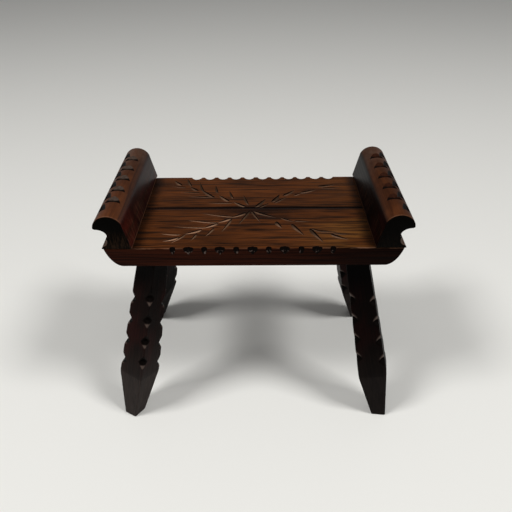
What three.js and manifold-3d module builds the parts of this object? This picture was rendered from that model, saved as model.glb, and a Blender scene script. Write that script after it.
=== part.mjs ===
// A low carved stool of dark-stained pine: two planks side by side, a scrolled rail across each end
// and four splayed square legs with notched corners.
// Lengths are in millimetres and angles in degrees. The origin is on the floor under the middle of
// the seat, +X runs to the right end, -Y to the front and +Z up.
import * as THREE from 'three';
import { mergeVertices } from 'three/addons/utils/BufferGeometryUtils.js';
import Module from 'manifold-3d';

const wasm = await Module();
wasm.setup();

// Seat planks
const seatHeight = 422;
const seatLength = 551;
const plankThickness = 39.5;
const frontPlankWidth = 149;
const rearPlankWidth = 141.5;
const plankGap = 1.8;
const plankEndRound = 33;
const plankEndRise = 40;

// Rails: the scroll is part of an ellipse, set out from the rail's inner foot and the seat top
const railLength = 304;
const railFootWidth = 56.5;
const railFootOverhang = 3;
const railRebateDepth = 1.5;
const scrollReach = 38.5;
const scrollRise = 42;
const scrollHalfWidth = 27.5;
const scrollHeight = 25.5;
const scrollStartAngle = 158;
const lipRound = 3.5;
const lipEdge = 2;
const coveDepth = 20;
const coveFootHeight = 26.5;

// Legs: square in section, set out from the edges of the planks
const legEndInset = 81.5;
const frontRightEndInset = 78;
const frontLegInset = 44;
const rearLegInset = 37.5;
const legSplayOut = 11.2;
const legSplayFore = 9;
const legTopSide = 42.5;
const legShoulderSide = 59.5;
const legFootSide = 30.5;
const legTaperLength = 116.5;
const frontRightTurn = 36;
const frontLeftTurn = 13;
const rearRightTurn = 51;
const rearLeftTurn = 107;

// Notches up the corners of the legs. Each corner's row starts higher by its share of the pitch.
const legNotchCount = 4;
const legNotchPitch = 49.7;
const frontRightNotchPitch = 46;
const evenRiseShares = [0, 0, 0, 0];
const frontLeftRiseShares = [0, 0.5, 0.14, 0.45];
const frontRightRiseShares = [0.2, 0.5, 0.6, 0.37];
const legNotchStart = 22;
const legNotchDepth = 9.5;
const legNotchHalf = 14;
const legNotchRadius = 16;

// Gouge cuts along the scroll, in two staggered rows
const scrollCutPitch = 46;
const scrollCutDepth = 5;
const scrollCutStopRun = 1.5;
const crestCutAngle = 90;
const crestCutMargin = 46;
const crestCutShift = 1;
const crestCutWidth = 24;
const crestCutRun = 17;
const crestCutRadius = 34;
const lipCutAngle = 37;
const lipCutMargin = 36;
const lipCutShift = -3;
const lipCutWidth = 17;
const lipCutRun = 24;
const lipCutRadius = 11;

// Chip on the corners at both ends of each rail's outer face
const railChipSide = 6;
const railChipRadius = 15;

// Scoops along the seat's edges: narrow and wide by turns at the front, all alike at the rear
const edgeCutPitch = 29.5;
const edgeCutMargin = 68;
const frontCutWideRadius = 9.2;
const frontCutNarrowRadius = 5.4;
const frontCutBack = 5.5;
const rearCutRadius = 12.5;
const rearCutBack = 11.5;
const edgeCutDrop = 13;
const frontCutShift = -2;
const rearCutShift = 17;

// Leg tenons, glued into blind mortises and spread by a wedge
const tenonDiameter = 28;
const mortiseCover = 9;
const kerfLength = 17;
const kerfWidth = 3.2;
const wedgeTipWidth = 1.2;

// Dowels between the planks
const dowelCount = 4;
const dowelPitch = 112;
const dowelDiameter = 10;
const dowelLength = 56;
const dowelChamfer = 1.5;

// Wood screws from below, through the planks into the rails
const screwFootInset = 21;
const screwEdgeInset = 27;
const screwDiameter = 5;
const screwRootDiameter = 3.8;
const screwHeadDiameter = 9.6;
const screwHeadHeight = 3;
const screwBite = 23;
const screwThreadLength = 26;
const screwPointLength = 5;
const screwSlotWidth = 1.3;
const screwSlotDepth = 1.4;
const counterboreDiameter = 11;
const counterboreDepth = 8;

// Clearances, and how far a cutter runs past what it cuts
const jointGap = 0.3;
const fitClearance = 0.15;
const overrun = 12;
const cutterReach = 90;

// Facets on round shapes
const gougeFacets = 28;
const scrollFacets = 16;
const coveFacets = 7;
const endFacets = 7;
const roundFacets = 16;

const X = new THREE.Vector3(1, 0, 0);
const Y = new THREE.Vector3(0, 1, 0);
const Z = new THREE.Vector3(0, 0, 1);

// Places that follow from the sizes
const halfLength = seatLength / 2;
const railInnerX = halfLength + railFootOverhang - railFootWidth;
const seatFront = -railLength / 2;
const frontPlankBack = seatFront + frontPlankWidth;
const rearPlankFront = frontPlankBack + plankGap;
const seatBack = rearPlankFront + rearPlankWidth;
const undersideHeight = seatHeight - plankThickness;
const legX = halfLength - legEndInset;
const frontRightLegX = halfLength - frontRightEndInset;
const frontLegY = seatFront + frontLegInset;
const rearLegY = seatBack - rearLegInset;
const gapY = frontPlankBack + plankGap / 2;

const pine = new THREE.MeshStandardMaterial({ color: 0x6b3a1c, roughness: 0.42, metalness: 0 });
const railPine = new THREE.MeshStandardMaterial({ color: 0x4f2416, roughness: 0.38, metalness: 0 });
const legPine = new THREE.MeshStandardMaterial({ color: 0x241311, roughness: 0.45, metalness: 0 });
const beech = new THREE.MeshStandardMaterial({ color: 0xb58a5c, roughness: 0.7, metalness: 0 });
const steel = new THREE.MeshStandardMaterial({ color: 0x8c8780, roughness: 0.4, metalness: 1 });

function radians(angle) {
  return THREE.MathUtils.degToRad(angle);
}

// A closed geometry as a solid; triangles that shrink to a line at a lathe's pole are dropped.
function solidOf(geometry) {
  const bare = geometry.clone();
  bare.deleteAttribute('normal');
  bare.deleteAttribute('uv');
  const merged = mergeVertices(bare);
  const corners = merged.index.array;
  const kept = [];
  for (let i = 0; i < corners.length; i += 3) {
    const [a, b, c] = corners.slice(i, i + 3);
    if (a !== b && b !== c && c !== a) kept.push(a, b, c);
  }
  return new wasm.Manifold(new wasm.Mesh({
    numProp: 3,
    vertProperties: new Float32Array(merged.attributes.position.array),
    triVerts: new Uint32Array(kept),
  }));
}

function geometryOf(solid) {
  const mesh = solid.getMesh();
  const geometry = new THREE.BufferGeometry();
  geometry.setAttribute('position', new THREE.BufferAttribute(mesh.vertProperties, 3));
  geometry.setIndex(new THREE.BufferAttribute(mesh.triVerts, 1));
  geometry.computeVertexNormals();
  return geometry;
}

function cut(solid, cutters) {
  return cutters.length ? solid.subtract(wasm.Manifold.union(cutters)) : solid;
}

function named(name, solid, material, place) {
  const mesh = new THREE.Mesh(geometryOf(solid), material);
  mesh.name = name;
  mesh.position.copy(place);
  return mesh;
}

// Points along part of an ellipse, both ends included.
function ellipsePoints(centreX, centreY, radiusX, radiusY, from, to, facets) {
  const points = [];
  for (let i = 0; i <= facets; i += 1) {
    const angle = radians(from + (to - from) * i / facets);
    points.push(new THREE.Vector2(centreX + radiusX * Math.cos(angle), centreY + radiusY * Math.sin(angle)));
  }
  return points;
}

// An outline in the XZ plane drawn out along Y, from its front to its back.
function drawnOut(points, front, back) {
  const depth = back - front;
  const geometry = new THREE.ExtrudeGeometry(new THREE.Shape(points), { depth, bevelEnabled: false });
  geometry.rotateX(Math.PI / 2);
  geometry.translate(0, back, 0);
  return solidOf(geometry);
}

function box(from, to) {
  const size = new THREE.Vector3().subVectors(to, from);
  const geometry = new THREE.BoxGeometry(size.x, size.y, size.z);
  geometry.translate((from.x + to.x) / 2, (from.y + to.y) / 2, (from.z + to.z) / 2);
  return solidOf(geometry);
}

// A round bar between two points.
function bar(from, to, radius, facets) {
  const along = new THREE.Vector3().subVectors(to, from);
  const geometry = new THREE.CylinderGeometry(radius, radius, along.length(), facets);
  geometry.applyQuaternion(new THREE.Quaternion().setFromUnitVectors(Y, along.clone().normalize()));
  const middle = new THREE.Vector3().addVectors(from, to).multiplyScalar(1 / 2);
  geometry.translate(middle.x, middle.y, middle.z);
  return solidOf(geometry);
}

// What a round gouge takes out when its deepest line passes through two points.
function scoop(from, to, outward, radius) {
  const along = new THREE.Vector3().subVectors(to, from).normalize();
  const lift = outward.clone().addScaledVector(along, -outward.dot(along)).setLength(radius);
  const reach = radius + overrun;
  const start = from.clone().addScaledVector(along, -reach).add(lift);
  const end = to.clone().addScaledVector(along, reach).add(lift);
  return bar(start, end, radius, gougeFacets);
}

// A gouge run from a lip down to its deepest point, ended there by a flat chisel wall up to the foot.
function stoppedScoop(foot, valley, lip, outward, radius) {
  const run = new THREE.Vector3().subVectors(lip, valley);
  const wall = new THREE.Vector3().subVectors(foot, valley).normalize();
  const normal = run.clone().addScaledVector(wall, -run.dot(wall)).normalize();
  const across = new THREE.Vector3().crossVectors(wall, normal);
  const geometry = new THREE.BoxGeometry(cutterReach, cutterReach, cutterReach);
  geometry.translate(0, 0, cutterReach / 2);
  geometry.applyMatrix4(new THREE.Matrix4().makeBasis(across, wall, normal).setPosition(valley));
  return scoop(valley, lip, outward, radius).intersect(solidOf(geometry));
}

// Evenly spaced places about a middle, as many as fit in a length less its margins.
function spaced(length, margin, pitch) {
  const count = Math.max(0, Math.floor((length - 2 * margin) / pitch) + 1);
  return Array.from({ length: count }, (_, i) => (i - (count - 1) / 2) * pitch);
}

// Legs

const leanX = Math.tan(radians(legSplayOut));
const leanY = Math.tan(radians(legSplayFore));
const alongPerHeight = Math.hypot(leanX, leanY, 1);
const legAxisLength = undersideHeight * alongPerHeight;
const tenonTilt = tenonDiameter / 2 * Math.hypot(leanX, leanY);
const tenonLength = (plankThickness - mortiseCover) * alongPerHeight - tenonTilt;
const shoulderDepth = legAxisLength - legTaperLength;

// Half the diagonal of the leg's square at a distance below the seat's underside.
function legHalfDiagonal(depth) {
  const shaftShare = depth / shoulderDepth;
  const taperShare = (depth - shoulderDepth) / legTaperLength;
  const side = depth < shoulderDepth
    ? legTopSide + (legShoulderSide - legTopSide) * shaftShare
    : legShoulderSide + (legFootSide - legShoulderSide) * taperShare;
  return side / Math.SQRT2;
}

// The leg's lean: from its own upright frame, origin at its top centre, to the frame of the stool.
function leanOf(sideX, sideY) {
  const axis = new THREE.Vector3(-sideX * leanX, -sideY * leanY, 1).normalize();
  return new THREE.Matrix4().makeRotationFromQuaternion(new THREE.Quaternion().setFromUnitVectors(Z, axis));
}

// A tapered square shaft: a lathe of four sides puts its corners on the axes before it is turned.
function legShaft(lean) {
  const depths = [legAxisLength + overrun, shoulderDepth, -overrun];
  const profile = depths.map((depth) => new THREE.Vector2(legHalfDiagonal(depth), -depth));
  profile.unshift(new THREE.Vector2(0, -depths[0]));
  profile.push(new THREE.Vector2(0, -depths[2]));
  const geometry = new THREE.LatheGeometry(profile, 4);
  geometry.rotateX(Math.PI / 2);
  geometry.applyMatrix4(lean);
  return solidOf(geometry);
}

function legNotches(lean, pitch, riseShares) {
  const cutters = [];
  for (let corner = 0; corner < 4; corner += 1) {
    const outward = X.clone().applyAxisAngle(Z, corner * Math.PI / 2);
    for (let k = 0; k < legNotchCount; k += 1) {
      const depth = shoulderDepth - legNotchStart - (k + riseShares[corner]) * pitch;
      const onCorner = (drop, sink) => outward.clone()
        .multiplyScalar(legHalfDiagonal(drop) - sink)
        .addScaledVector(Z, -drop)
        .applyMatrix4(lean);
      const foot = onCorner(depth + legNotchHalf, 0);
      const valley = onCorner(depth, legNotchDepth);
      const lip = onCorner(depth - legNotchHalf, 0);
      const facing = outward.clone().transformDirection(lean);
      cutters.push(stoppedScoop(foot, valley, lip, facing, legNotchRadius));
    }
  }
  return cutters;
}

// The saw kerf across the tenon's end and the wedge in it share one tapered outline.
function kerfSlab(lean, slack, from, to, halfSpan) {
  const widthAt = (depth) => wedgeTipWidth + (kerfWidth - wedgeTipWidth) * depth / kerfLength;
  const half = (depth) => widthAt(depth) / 2 + slack;
  const base = tenonLength - kerfLength;
  const points = [
    new THREE.Vector2(-half(from), base + from),
    new THREE.Vector2(half(from), base + from),
    new THREE.Vector2(half(to), base + to),
    new THREE.Vector2(-half(to), base + to),
  ];
  const geometry = new THREE.ExtrudeGeometry(new THREE.Shape(points), {
    depth: 2 * halfSpan,
    bevelEnabled: false,
  });
  geometry.rotateX(Math.PI / 2);
  geometry.translate(0, halfSpan, 0);
  geometry.applyMatrix4(lean);
  return solidOf(geometry);
}

function tenon(lean, radius, length) {
  const from = new THREE.Vector3(0, 0, -overrun).applyMatrix4(lean);
  const to = new THREE.Vector3(0, 0, length).applyMatrix4(lean);
  return bar(from, to, radius, roundFacets);
}

function legParts({ name, x, y, turn, pitch, riseShares }) {
  const sideX = Math.sign(x);
  const sideY = Math.sign(y);
  const lean = leanOf(sideX, sideY);
  const turned = lean.clone().multiply(new THREE.Matrix4().makeRotationZ(radians(turn)));
  const place = new THREE.Vector3(x, y, undersideHeight);
  const spread = undersideHeight * Math.max(leanX, leanY) + cutterReach;
  const standing = box(
    new THREE.Vector3(-spread, -spread, -undersideHeight),
    new THREE.Vector3(spread, spread, -jointGap),
  );
  const shaft = cut(legShaft(turned).intersect(standing), legNotches(turned, pitch, riseShares));
  const kerf = kerfSlab(lean, 0, 0, kerfLength + overrun, tenonDiameter);
  const leg = shaft.add(tenon(lean, tenonDiameter / 2, tenonLength)).subtract(kerf);
  const wedgeSpan = tenonDiameter / 2 - fitClearance;
  const wedge = kerfSlab(lean, -fitClearance, jointGap, kerfLength, wedgeSpan)
    .intersect(tenon(lean, wedgeSpan, tenonLength));
  const mortise = tenon(lean, tenonDiameter / 2 + fitClearance, tenonLength + jointGap);
  return {
    meshes: [
      named(`leg_${name}`, leg, legPine, place),
      named(`tenon_wedge_${name}`, wedge, beech, place),
    ],
    mortise: mortise.translate(place.toArray()),
  };
}

// Rails

function railOutline(side) {
  const foot = jointGap - railRebateDepth;
  const coveReach = scrollReach + scrollHalfWidth - lipRound;
  const coveRise = scrollRise - lipEdge - coveFootHeight;
  const scroll = [scrollReach, scrollRise, scrollHalfWidth, scrollHeight];
  const points = [
    new THREE.Vector2(0, foot),
    ...ellipsePoints(...scroll, scrollStartAngle, 0, scrollFacets),
    ...ellipsePoints(coveReach, coveFootHeight, coveDepth, coveRise, 90, 180, coveFacets),
    new THREE.Vector2(railFootWidth, foot),
  ];
  return points.map((point) => new THREE.Vector2(side * point.x, point.y));
}

function scrollCuts(side, { angle, margin, shift, width, run, radius }) {
  const turn = radians(angle);
  const surface = new THREE.Vector3(
    side * (scrollReach + scrollHalfWidth * Math.cos(turn)),
    0,
    scrollRise + scrollHeight * Math.sin(turn),
  );
  const outward = new THREE.Vector3(
    side * Math.cos(turn) / scrollHalfWidth,
    0,
    Math.sin(turn) / scrollHeight,
  ).normalize();
  return spaced(railLength, margin, scrollCutPitch).map((y) => {
    const stop = y + shift;
    const foot = surface.clone().addScaledVector(Y, stop - scrollCutStopRun);
    const valley = surface.clone().addScaledVector(Y, stop).addScaledVector(outward, -scrollCutDepth);
    const lip = surface.clone().addScaledVector(Y, stop + run);
    const cutter = stoppedScoop(foot, valley, lip, outward, radius);
    const across = new THREE.Vector3().crossVectors(outward, Y);
    return cutter.intersect(strip(surface, across, width));
  });
}

const crestCuts = {
  angle: crestCutAngle,
  margin: crestCutMargin,
  shift: crestCutShift,
  width: crestCutWidth,
  run: crestCutRun,
  radius: crestCutRadius,
};
const lipCuts = {
  angle: lipCutAngle,
  margin: lipCutMargin,
  shift: lipCutShift,
  width: lipCutWidth,
  run: lipCutRun,
  radius: lipCutRadius,
};

// The space within half a width of a point, measured across.
function strip(middle, across, width) {
  const length = 4 * railLength;
  const geometry = new THREE.BoxGeometry(width, length, length);
  const third = new THREE.Vector3().crossVectors(across, Y);
  geometry.applyMatrix4(new THREE.Matrix4().makeBasis(across, Y, third).setPosition(middle));
  return solidOf(geometry);
}

// Both ends of the rail's sloping outer face are hollowed at the corner.
function railChips(side) {
  const inner = new THREE.Vector3(scrollReach + scrollHalfWidth - lipRound - coveDepth, 0, coveFootHeight);
  const outer = new THREE.Vector3(railFootWidth, 0, 0);
  const down = new THREE.Vector3().subVectors(outer, inner).normalize();
  const facing = new THREE.Vector3().crossVectors(Y, down).multiplyScalar(-1);
  return [-1, 1].map((end) => {
    const corner = inner.clone().add(outer).multiplyScalar(1 / 2).addScaledVector(Y, end * railLength / 2);
    const onEnd = corner.clone().addScaledVector(facing, -railChipSide);
    const onFace = corner.clone().addScaledVector(Y, -end * railChipSide);
    const outward = facing.clone().addScaledVector(Y, end);
    const mirror = new THREE.Vector3(side, 1, 1);
    return scoop(onEnd.multiply(mirror), onFace.multiply(mirror), outward.multiply(mirror), railChipRadius);
  });
}

function rail(name, side, screwHoles) {
  const place = new THREE.Vector3(side * railInnerX, 0, seatHeight);
  const body = drawnOut(railOutline(side), -railLength / 2, railLength / 2);
  const carved = cut(body, [
    ...scrollCuts(side, crestCuts),
    ...scrollCuts(side, lipCuts),
    ...railChips(side),
  ]);
  const back = place.clone().negate().toArray();
  return named(name, cut(carved, screwHoles.map((hole) => hole.translate(back))), railPine, place);
}

// Planks

// Each end is rounded under by part of an ellipse whose centre lies above the plank.
function plankOutline() {
  const shoulder = railInnerX - jointGap;
  const drop = plankThickness + plankEndRise;
  const spread = plankEndRound / Math.sqrt(1 - (plankEndRise / drop) ** 2);
  const startAngle = -THREE.MathUtils.radToDeg(Math.asin((plankEndRise + railRebateDepth) / drop));
  const end = [
    new THREE.Vector2(shoulder, 0),
    new THREE.Vector2(shoulder, -railRebateDepth),
    ...ellipsePoints(halfLength - plankEndRound, plankEndRise, spread, drop, startAngle, -90, endFacets),
  ];
  const otherEnd = end.map((point) => new THREE.Vector2(-point.x, point.y)).reverse();
  return [...end, ...otherEnd];
}

// Scoops across a top edge: each leaves the top face a little way in and the edge face lower down.
function edgeCuts({ edgeY, facing, shift, back, evenRadius, oddRadius }) {
  const outward = new THREE.Vector3(0, facing, 1).normalize();
  return spaced(2 * railInnerX, edgeCutMargin, edgeCutPitch).map((x, i) => {
    const radius = i % 2 ? oddRadius : evenRadius;
    const onTop = new THREE.Vector3(x + shift, edgeY - facing * back, 0);
    const onEdge = new THREE.Vector3(x + shift, edgeY, -edgeCutDrop);
    return scoop(onTop, onEdge, outward, radius);
  });
}

function plank(name, front, back, edge, holes) {
  const place = new THREE.Vector3(0, 0, seatHeight);
  const drop = place.clone().negate().toArray();
  const board = drawnOut(plankOutline(), front, back);
  const cutters = [...edgeCuts(edge), ...holes.map((hole) => hole.translate(drop))];
  return named(name, cut(board, cutters), pine, place);
}

// Dowels across the joint between the planks

const dowelZ = seatHeight - plankThickness / 2;
const dowelPlaces = Array.from({ length: dowelCount }, (_, i) => {
  return new THREE.Vector3((i - (dowelCount - 1) / 2) * dowelPitch, gapY, dowelZ);
});

function dowel() {
  const radius = dowelDiameter / 2;
  const half = dowelLength / 2;
  const profile = [
    new THREE.Vector2(0, -half),
    new THREE.Vector2(radius - dowelChamfer, -half),
    new THREE.Vector2(radius, dowelChamfer - half),
    new THREE.Vector2(radius, half - dowelChamfer),
    new THREE.Vector2(radius - dowelChamfer, half),
    new THREE.Vector2(0, half),
  ];
  return solidOf(new THREE.LatheGeometry(profile, roundFacets));
}

function dowelHole(place) {
  const reach = dowelLength / 2 + jointGap;
  const from = place.clone().addScaledVector(Y, -reach);
  const to = place.clone().addScaledVector(Y, reach);
  return bar(from, to, dowelDiameter / 2 + fitClearance, roundFacets);
}

// Screws, head down in a counterbore in the plank's underside, point up in the rail

const screwSeat = undersideHeight + counterboreDepth;
const screwTip = seatHeight + jointGap - railRebateDepth + screwBite;
const screwLength = screwTip - screwSeat;

const screwRows = [
  seatFront + screwEdgeInset,
  frontPlankBack - screwEdgeInset,
  rearPlankFront + screwEdgeInset,
  seatBack - screwEdgeInset,
];

function screwPlace(side, y) {
  return new THREE.Vector3(side * (railInnerX + screwFootInset), y, screwSeat);
}

// A profile turned about the screw's upright axis, its heights measured up from the head.
function turnedUp(pairs) {
  const profile = pairs.map(([radius, height]) => new THREE.Vector2(radius, height));
  const geometry = new THREE.LatheGeometry(profile, roundFacets);
  geometry.rotateX(Math.PI / 2);
  return solidOf(geometry);
}

function screw() {
  const threadStart = screwLength - screwThreadLength;
  const body = turnedUp([
    [0, 0],
    [screwHeadDiameter / 2, 0],
    [screwDiameter / 2, screwHeadHeight],
    [screwDiameter / 2, threadStart],
    [screwRootDiameter / 2, threadStart + (screwDiameter - screwRootDiameter) / 2],
    [screwRootDiameter / 2, screwLength - screwPointLength],
    [0, screwLength],
  ]);
  const half = screwHeadDiameter / 2 + overrun;
  const slot = box(
    new THREE.Vector3(-half, -screwSlotWidth / 2, -overrun),
    new THREE.Vector3(half, screwSlotWidth / 2, screwSlotDepth),
  );
  return body.subtract(slot);
}

function screwHole(place) {
  const radius = screwDiameter / 2 + fitClearance;
  const headRadius = screwHeadDiameter / 2 + fitClearance;
  const boreRadius = Math.max(counterboreDiameter / 2, headRadius);
  const coneHeight = screwHeadHeight * (headRadius - radius) / ((screwHeadDiameter - screwDiameter) / 2);
  return turnedUp([
    [0, -counterboreDepth - overrun],
    [boreRadius, -counterboreDepth - overrun],
    [boreRadius, 0],
    [headRadius, 0],
    [radius, coneHeight],
    [radius, screwLength + jointGap],
    [0, screwLength + jointGap],
  ]).translate(place.toArray());
}

// The stool

const stool = new THREE.Group();
stool.name = 'carved_stool';

const legs = [
  {
    name: 'front_left',
    x: -legX,
    y: frontLegY,
    turn: frontLeftTurn,
    pitch: legNotchPitch,
    riseShares: frontLeftRiseShares,
  },
  {
    name: 'front_right',
    x: frontRightLegX,
    y: frontLegY,
    turn: frontRightTurn,
    pitch: frontRightNotchPitch,
    riseShares: frontRightRiseShares,
  },
  {
    name: 'rear_left',
    x: -legX,
    y: rearLegY,
    turn: rearLeftTurn,
    pitch: legNotchPitch,
    riseShares: evenRiseShares,
  },
  {
    name: 'rear_right',
    x: legX,
    y: rearLegY,
    turn: rearRightTurn,
    pitch: legNotchPitch,
    riseShares: evenRiseShares,
  },
].map(legParts);

const dowelHoles = dowelPlaces.map(dowelHole);
const screwHoles = [-1, 1].map((side) => screwRows.map((y) => screwHole(screwPlace(side, y))));

const [frontLeft, frontRight, rearLeft, rearRight] = legs.map((leg) => leg.mortise);
const frontHoles = [
  frontLeft,
  frontRight,
  ...dowelHoles,
  ...screwHoles.flatMap((holes) => holes.slice(0, 2)),
];
const rearHoles = [
  rearLeft,
  rearRight,
  ...dowelHoles,
  ...screwHoles.flatMap((holes) => holes.slice(2)),
];
// The scoops of the planks' outer edges
const frontEdge = {
  edgeY: seatFront,
  facing: -1,
  shift: frontCutShift,
  back: frontCutBack,
  evenRadius: frontCutNarrowRadius,
  oddRadius: frontCutWideRadius,
};
const rearEdge = {
  edgeY: seatBack,
  facing: 1,
  shift: rearCutShift,
  back: rearCutBack,
  evenRadius: rearCutRadius,
  oddRadius: rearCutRadius,
};
stool.add(
  plank('seat_plank_front', seatFront, frontPlankBack, frontEdge, frontHoles),
  plank('seat_plank_rear', rearPlankFront, seatBack, rearEdge, rearHoles),
  rail('rail_left', -1, screwHoles[0]),
  rail('rail_right', 1, screwHoles[1]),
  ...legs.flatMap((leg) => leg.meshes),
);

dowelPlaces.forEach((place, i) => {
  stool.add(named(`seat_dowel_${i + 1}`, dowel(), beech, place));
});

const sideNames = ['left', 'right'];
[-1, 1].forEach((side, s) => {
  screwRows.forEach((y, i) => {
    stool.add(named(`rail_screw_${sideNames[s]}_${i + 1}`, screw(), steel, screwPlace(side, y)));
  });
});

export default stool;
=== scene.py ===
"""A low carved stool of dark-stained pine: two planks side by side, a scrolled rail across each end
and four splayed square legs with notched corners. Lengths are in metres, +X runs to the right end,
-Y to the front and +Z up."""

import math

import bmesh
import bpy
import numpy as np
from bpy.props import FloatProperty, FloatVectorProperty, IntProperty, PointerProperty
from mathutils import Matrix, Vector, noise


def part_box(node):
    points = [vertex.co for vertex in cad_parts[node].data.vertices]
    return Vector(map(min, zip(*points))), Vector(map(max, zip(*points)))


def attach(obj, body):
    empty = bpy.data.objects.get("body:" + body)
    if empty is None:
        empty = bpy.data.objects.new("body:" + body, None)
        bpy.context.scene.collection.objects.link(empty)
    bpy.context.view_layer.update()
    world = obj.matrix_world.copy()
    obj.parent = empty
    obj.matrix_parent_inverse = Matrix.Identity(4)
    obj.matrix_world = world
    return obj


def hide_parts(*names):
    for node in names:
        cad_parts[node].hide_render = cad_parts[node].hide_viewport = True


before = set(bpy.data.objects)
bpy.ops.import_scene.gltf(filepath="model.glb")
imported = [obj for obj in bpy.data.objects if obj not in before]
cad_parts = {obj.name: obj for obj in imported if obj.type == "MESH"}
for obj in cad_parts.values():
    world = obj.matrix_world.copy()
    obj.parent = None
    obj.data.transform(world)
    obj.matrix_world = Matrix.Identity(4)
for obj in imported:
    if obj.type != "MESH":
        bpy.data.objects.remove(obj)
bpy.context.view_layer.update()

bl_info = {
    "name": "Carved plank stool",
    "version": (1, 0, 0),
    "blender": (4, 5, 0),
    "location": "3D View > Sidebar > Stool",
    "description": "Carves and finishes a low stool of dark-stained pine",
    "category": "Object",
}

MM = 0.001
X = Vector((1, 0, 0))
Y = Vector((0, 1, 0))
Z = Vector((0, 0, 1))
OVERRUN = 12 * MM
JOINT_GAP = 0.3 * MM
FIT_CLEARANCE = 0.15 * MM
REBATE = 1.5 * MM
RAIL_FOOT = 56.5 * MM
FOOT_OVERHANG = 3 * MM
SMOOTH_ANGLE = math.radians(20)
BEVEL_ANGLE = math.radians(40)
MERGE_DISTANCE = 0.002 * MM


def corners(node):
    """The low and the high corner of a node's box on the frame."""
    return [Vector(corner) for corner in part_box(node)]


def places_of(prefix):
    """The corners and the middle of each of the frame's pieces of one kind."""
    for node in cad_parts:
        if node.startswith(prefix):
            low, high = corners(node)
            yield low, high, (low + high) / 2


# Places that the frame gives
front_low, front_high = corners("seat_plank_front")
rear_low, rear_high = corners("seat_plank_rear")
rail_low, rail_high = corners("rail_left")
SEAT_TOP = front_high.z
UNDERSIDE = front_low.z
SEAT_FRONT = front_low.y
GAP_FRONT = front_high.y
GAP_BACK = rear_low.y
GAP_MIDDLE = (GAP_FRONT + GAP_BACK) / 2
SEAT_BACK = rear_high.y
RAIL_FRONT = rail_low.y
RAIL_BACK = rail_high.y
RAIL_INNER_X = -rail_high.x
HALF_LENGTH = RAIL_INNER_X + RAIL_FOOT - FOOT_OVERHANG


# Properties that a user would change

def length(name, description, default):
    return FloatProperty(name=name, description=description, default=default * MM,
                         subtype='DISTANCE', unit='LENGTH', precision=5)


def angle(name, description, default):
    return FloatProperty(name=name, description=description, default=math.radians(default),
                         subtype='ANGLE', unit='ROTATION')


def count(name, description, default):
    return IntProperty(name=name, description=description, default=default, min=1)


def share(name, description, default):
    return FloatProperty(name=name, description=description, default=default, subtype='FACTOR')


def linear(hex_colour):
    """A colour written as it looks on a screen, as the linear values that materials hold."""
    parts = [(hex_colour >> shift & 255) / 255 for shift in (16, 8, 0)]
    return tuple(p / 12.92 if p <= 0.04045 else ((p + 0.055) / 1.055) ** 2.4 for p in parts)


def colour(name, description, hex_colour):
    return FloatVectorProperty(name=name, description=description, default=linear(hex_colour),
                               subtype='COLOR', size=3, min=0, max=1)


class StoolSeat(bpy.types.PropertyGroup):
    """Sizes of the two seat planks and their carving."""
    end_round: length("End round", "Run of the rounding under each end", 33)
    end_rise: length("End rise", "Centre of that rounding above the seat", 40)
    arris: length("Arris", "Rounding of the planks' edges", 1.5)
    waver: length("Waver", "How far the planed faces depart from flat", 0.22)
    scoop_pitch: length("Scoop pitch", "Spacing of the scoops along the edges", 29.5)
    scoop_count: count("Scoops", "Scoops along each long edge", 11)
    scoop_wide: length("Wide scoop", "Radius of every second scoop", 9.2)
    scoop_narrow: length("Narrow scoop", "Radius of the scoops between", 5.4)
    scoop_back: length("Scoop back", "How far a scoop reaches in from the edge", 5.5)
    scoop_drop: length("Scoop drop", "How far a scoop reaches down the edge", 13)
    front_shift: length("Front shift", "Shift of the front scoops along the edge", -2)
    rear_shift: length("Rear shift", "Shift of the rear scoops along the edge", 17)
    rear_scoop: length("Rear scoop", "Radius of the scoops along the rear edge", 12.5)
    rear_back: length("Rear scoop back", "How far a rear scoop reaches in from the edge", 11.5)
    scoop_stray: length("Stray", "How far a scoop strays from its place", 0.9)
    stem_width: length("Stem width", "Width of a knife stroke of the sprigs' stems", 10)
    stroke_width: length("Stroke width", "Width of a knife stroke of the sprigs' leaves", 6.5)
    stroke_depth: share("Stroke depth", "Depth of a knife stroke for each unit of its width", 0.18)
    stroke_lead: share("Stroke lead", "Start of a stroke before its place, for each unit of length", 0.15)
    stroke_reach: share("Stroke reach", "Length of a stroke for each unit between its ends", 1.5)
    screw_bore: length("Screw bore", "Radius of the bore for a screw's head", 5.5)
    screw_head: length("Screw head", "Radius of a screw's head", 4.8)
    screw_cone: length("Screw cone", "Height of a screw's head", 3)
    screw_radius: length("Screw radius", "Radius of a screw", 2.5)
    dowel_radius: length("Dowel radius", "Radius of a dowel", 5)


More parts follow.
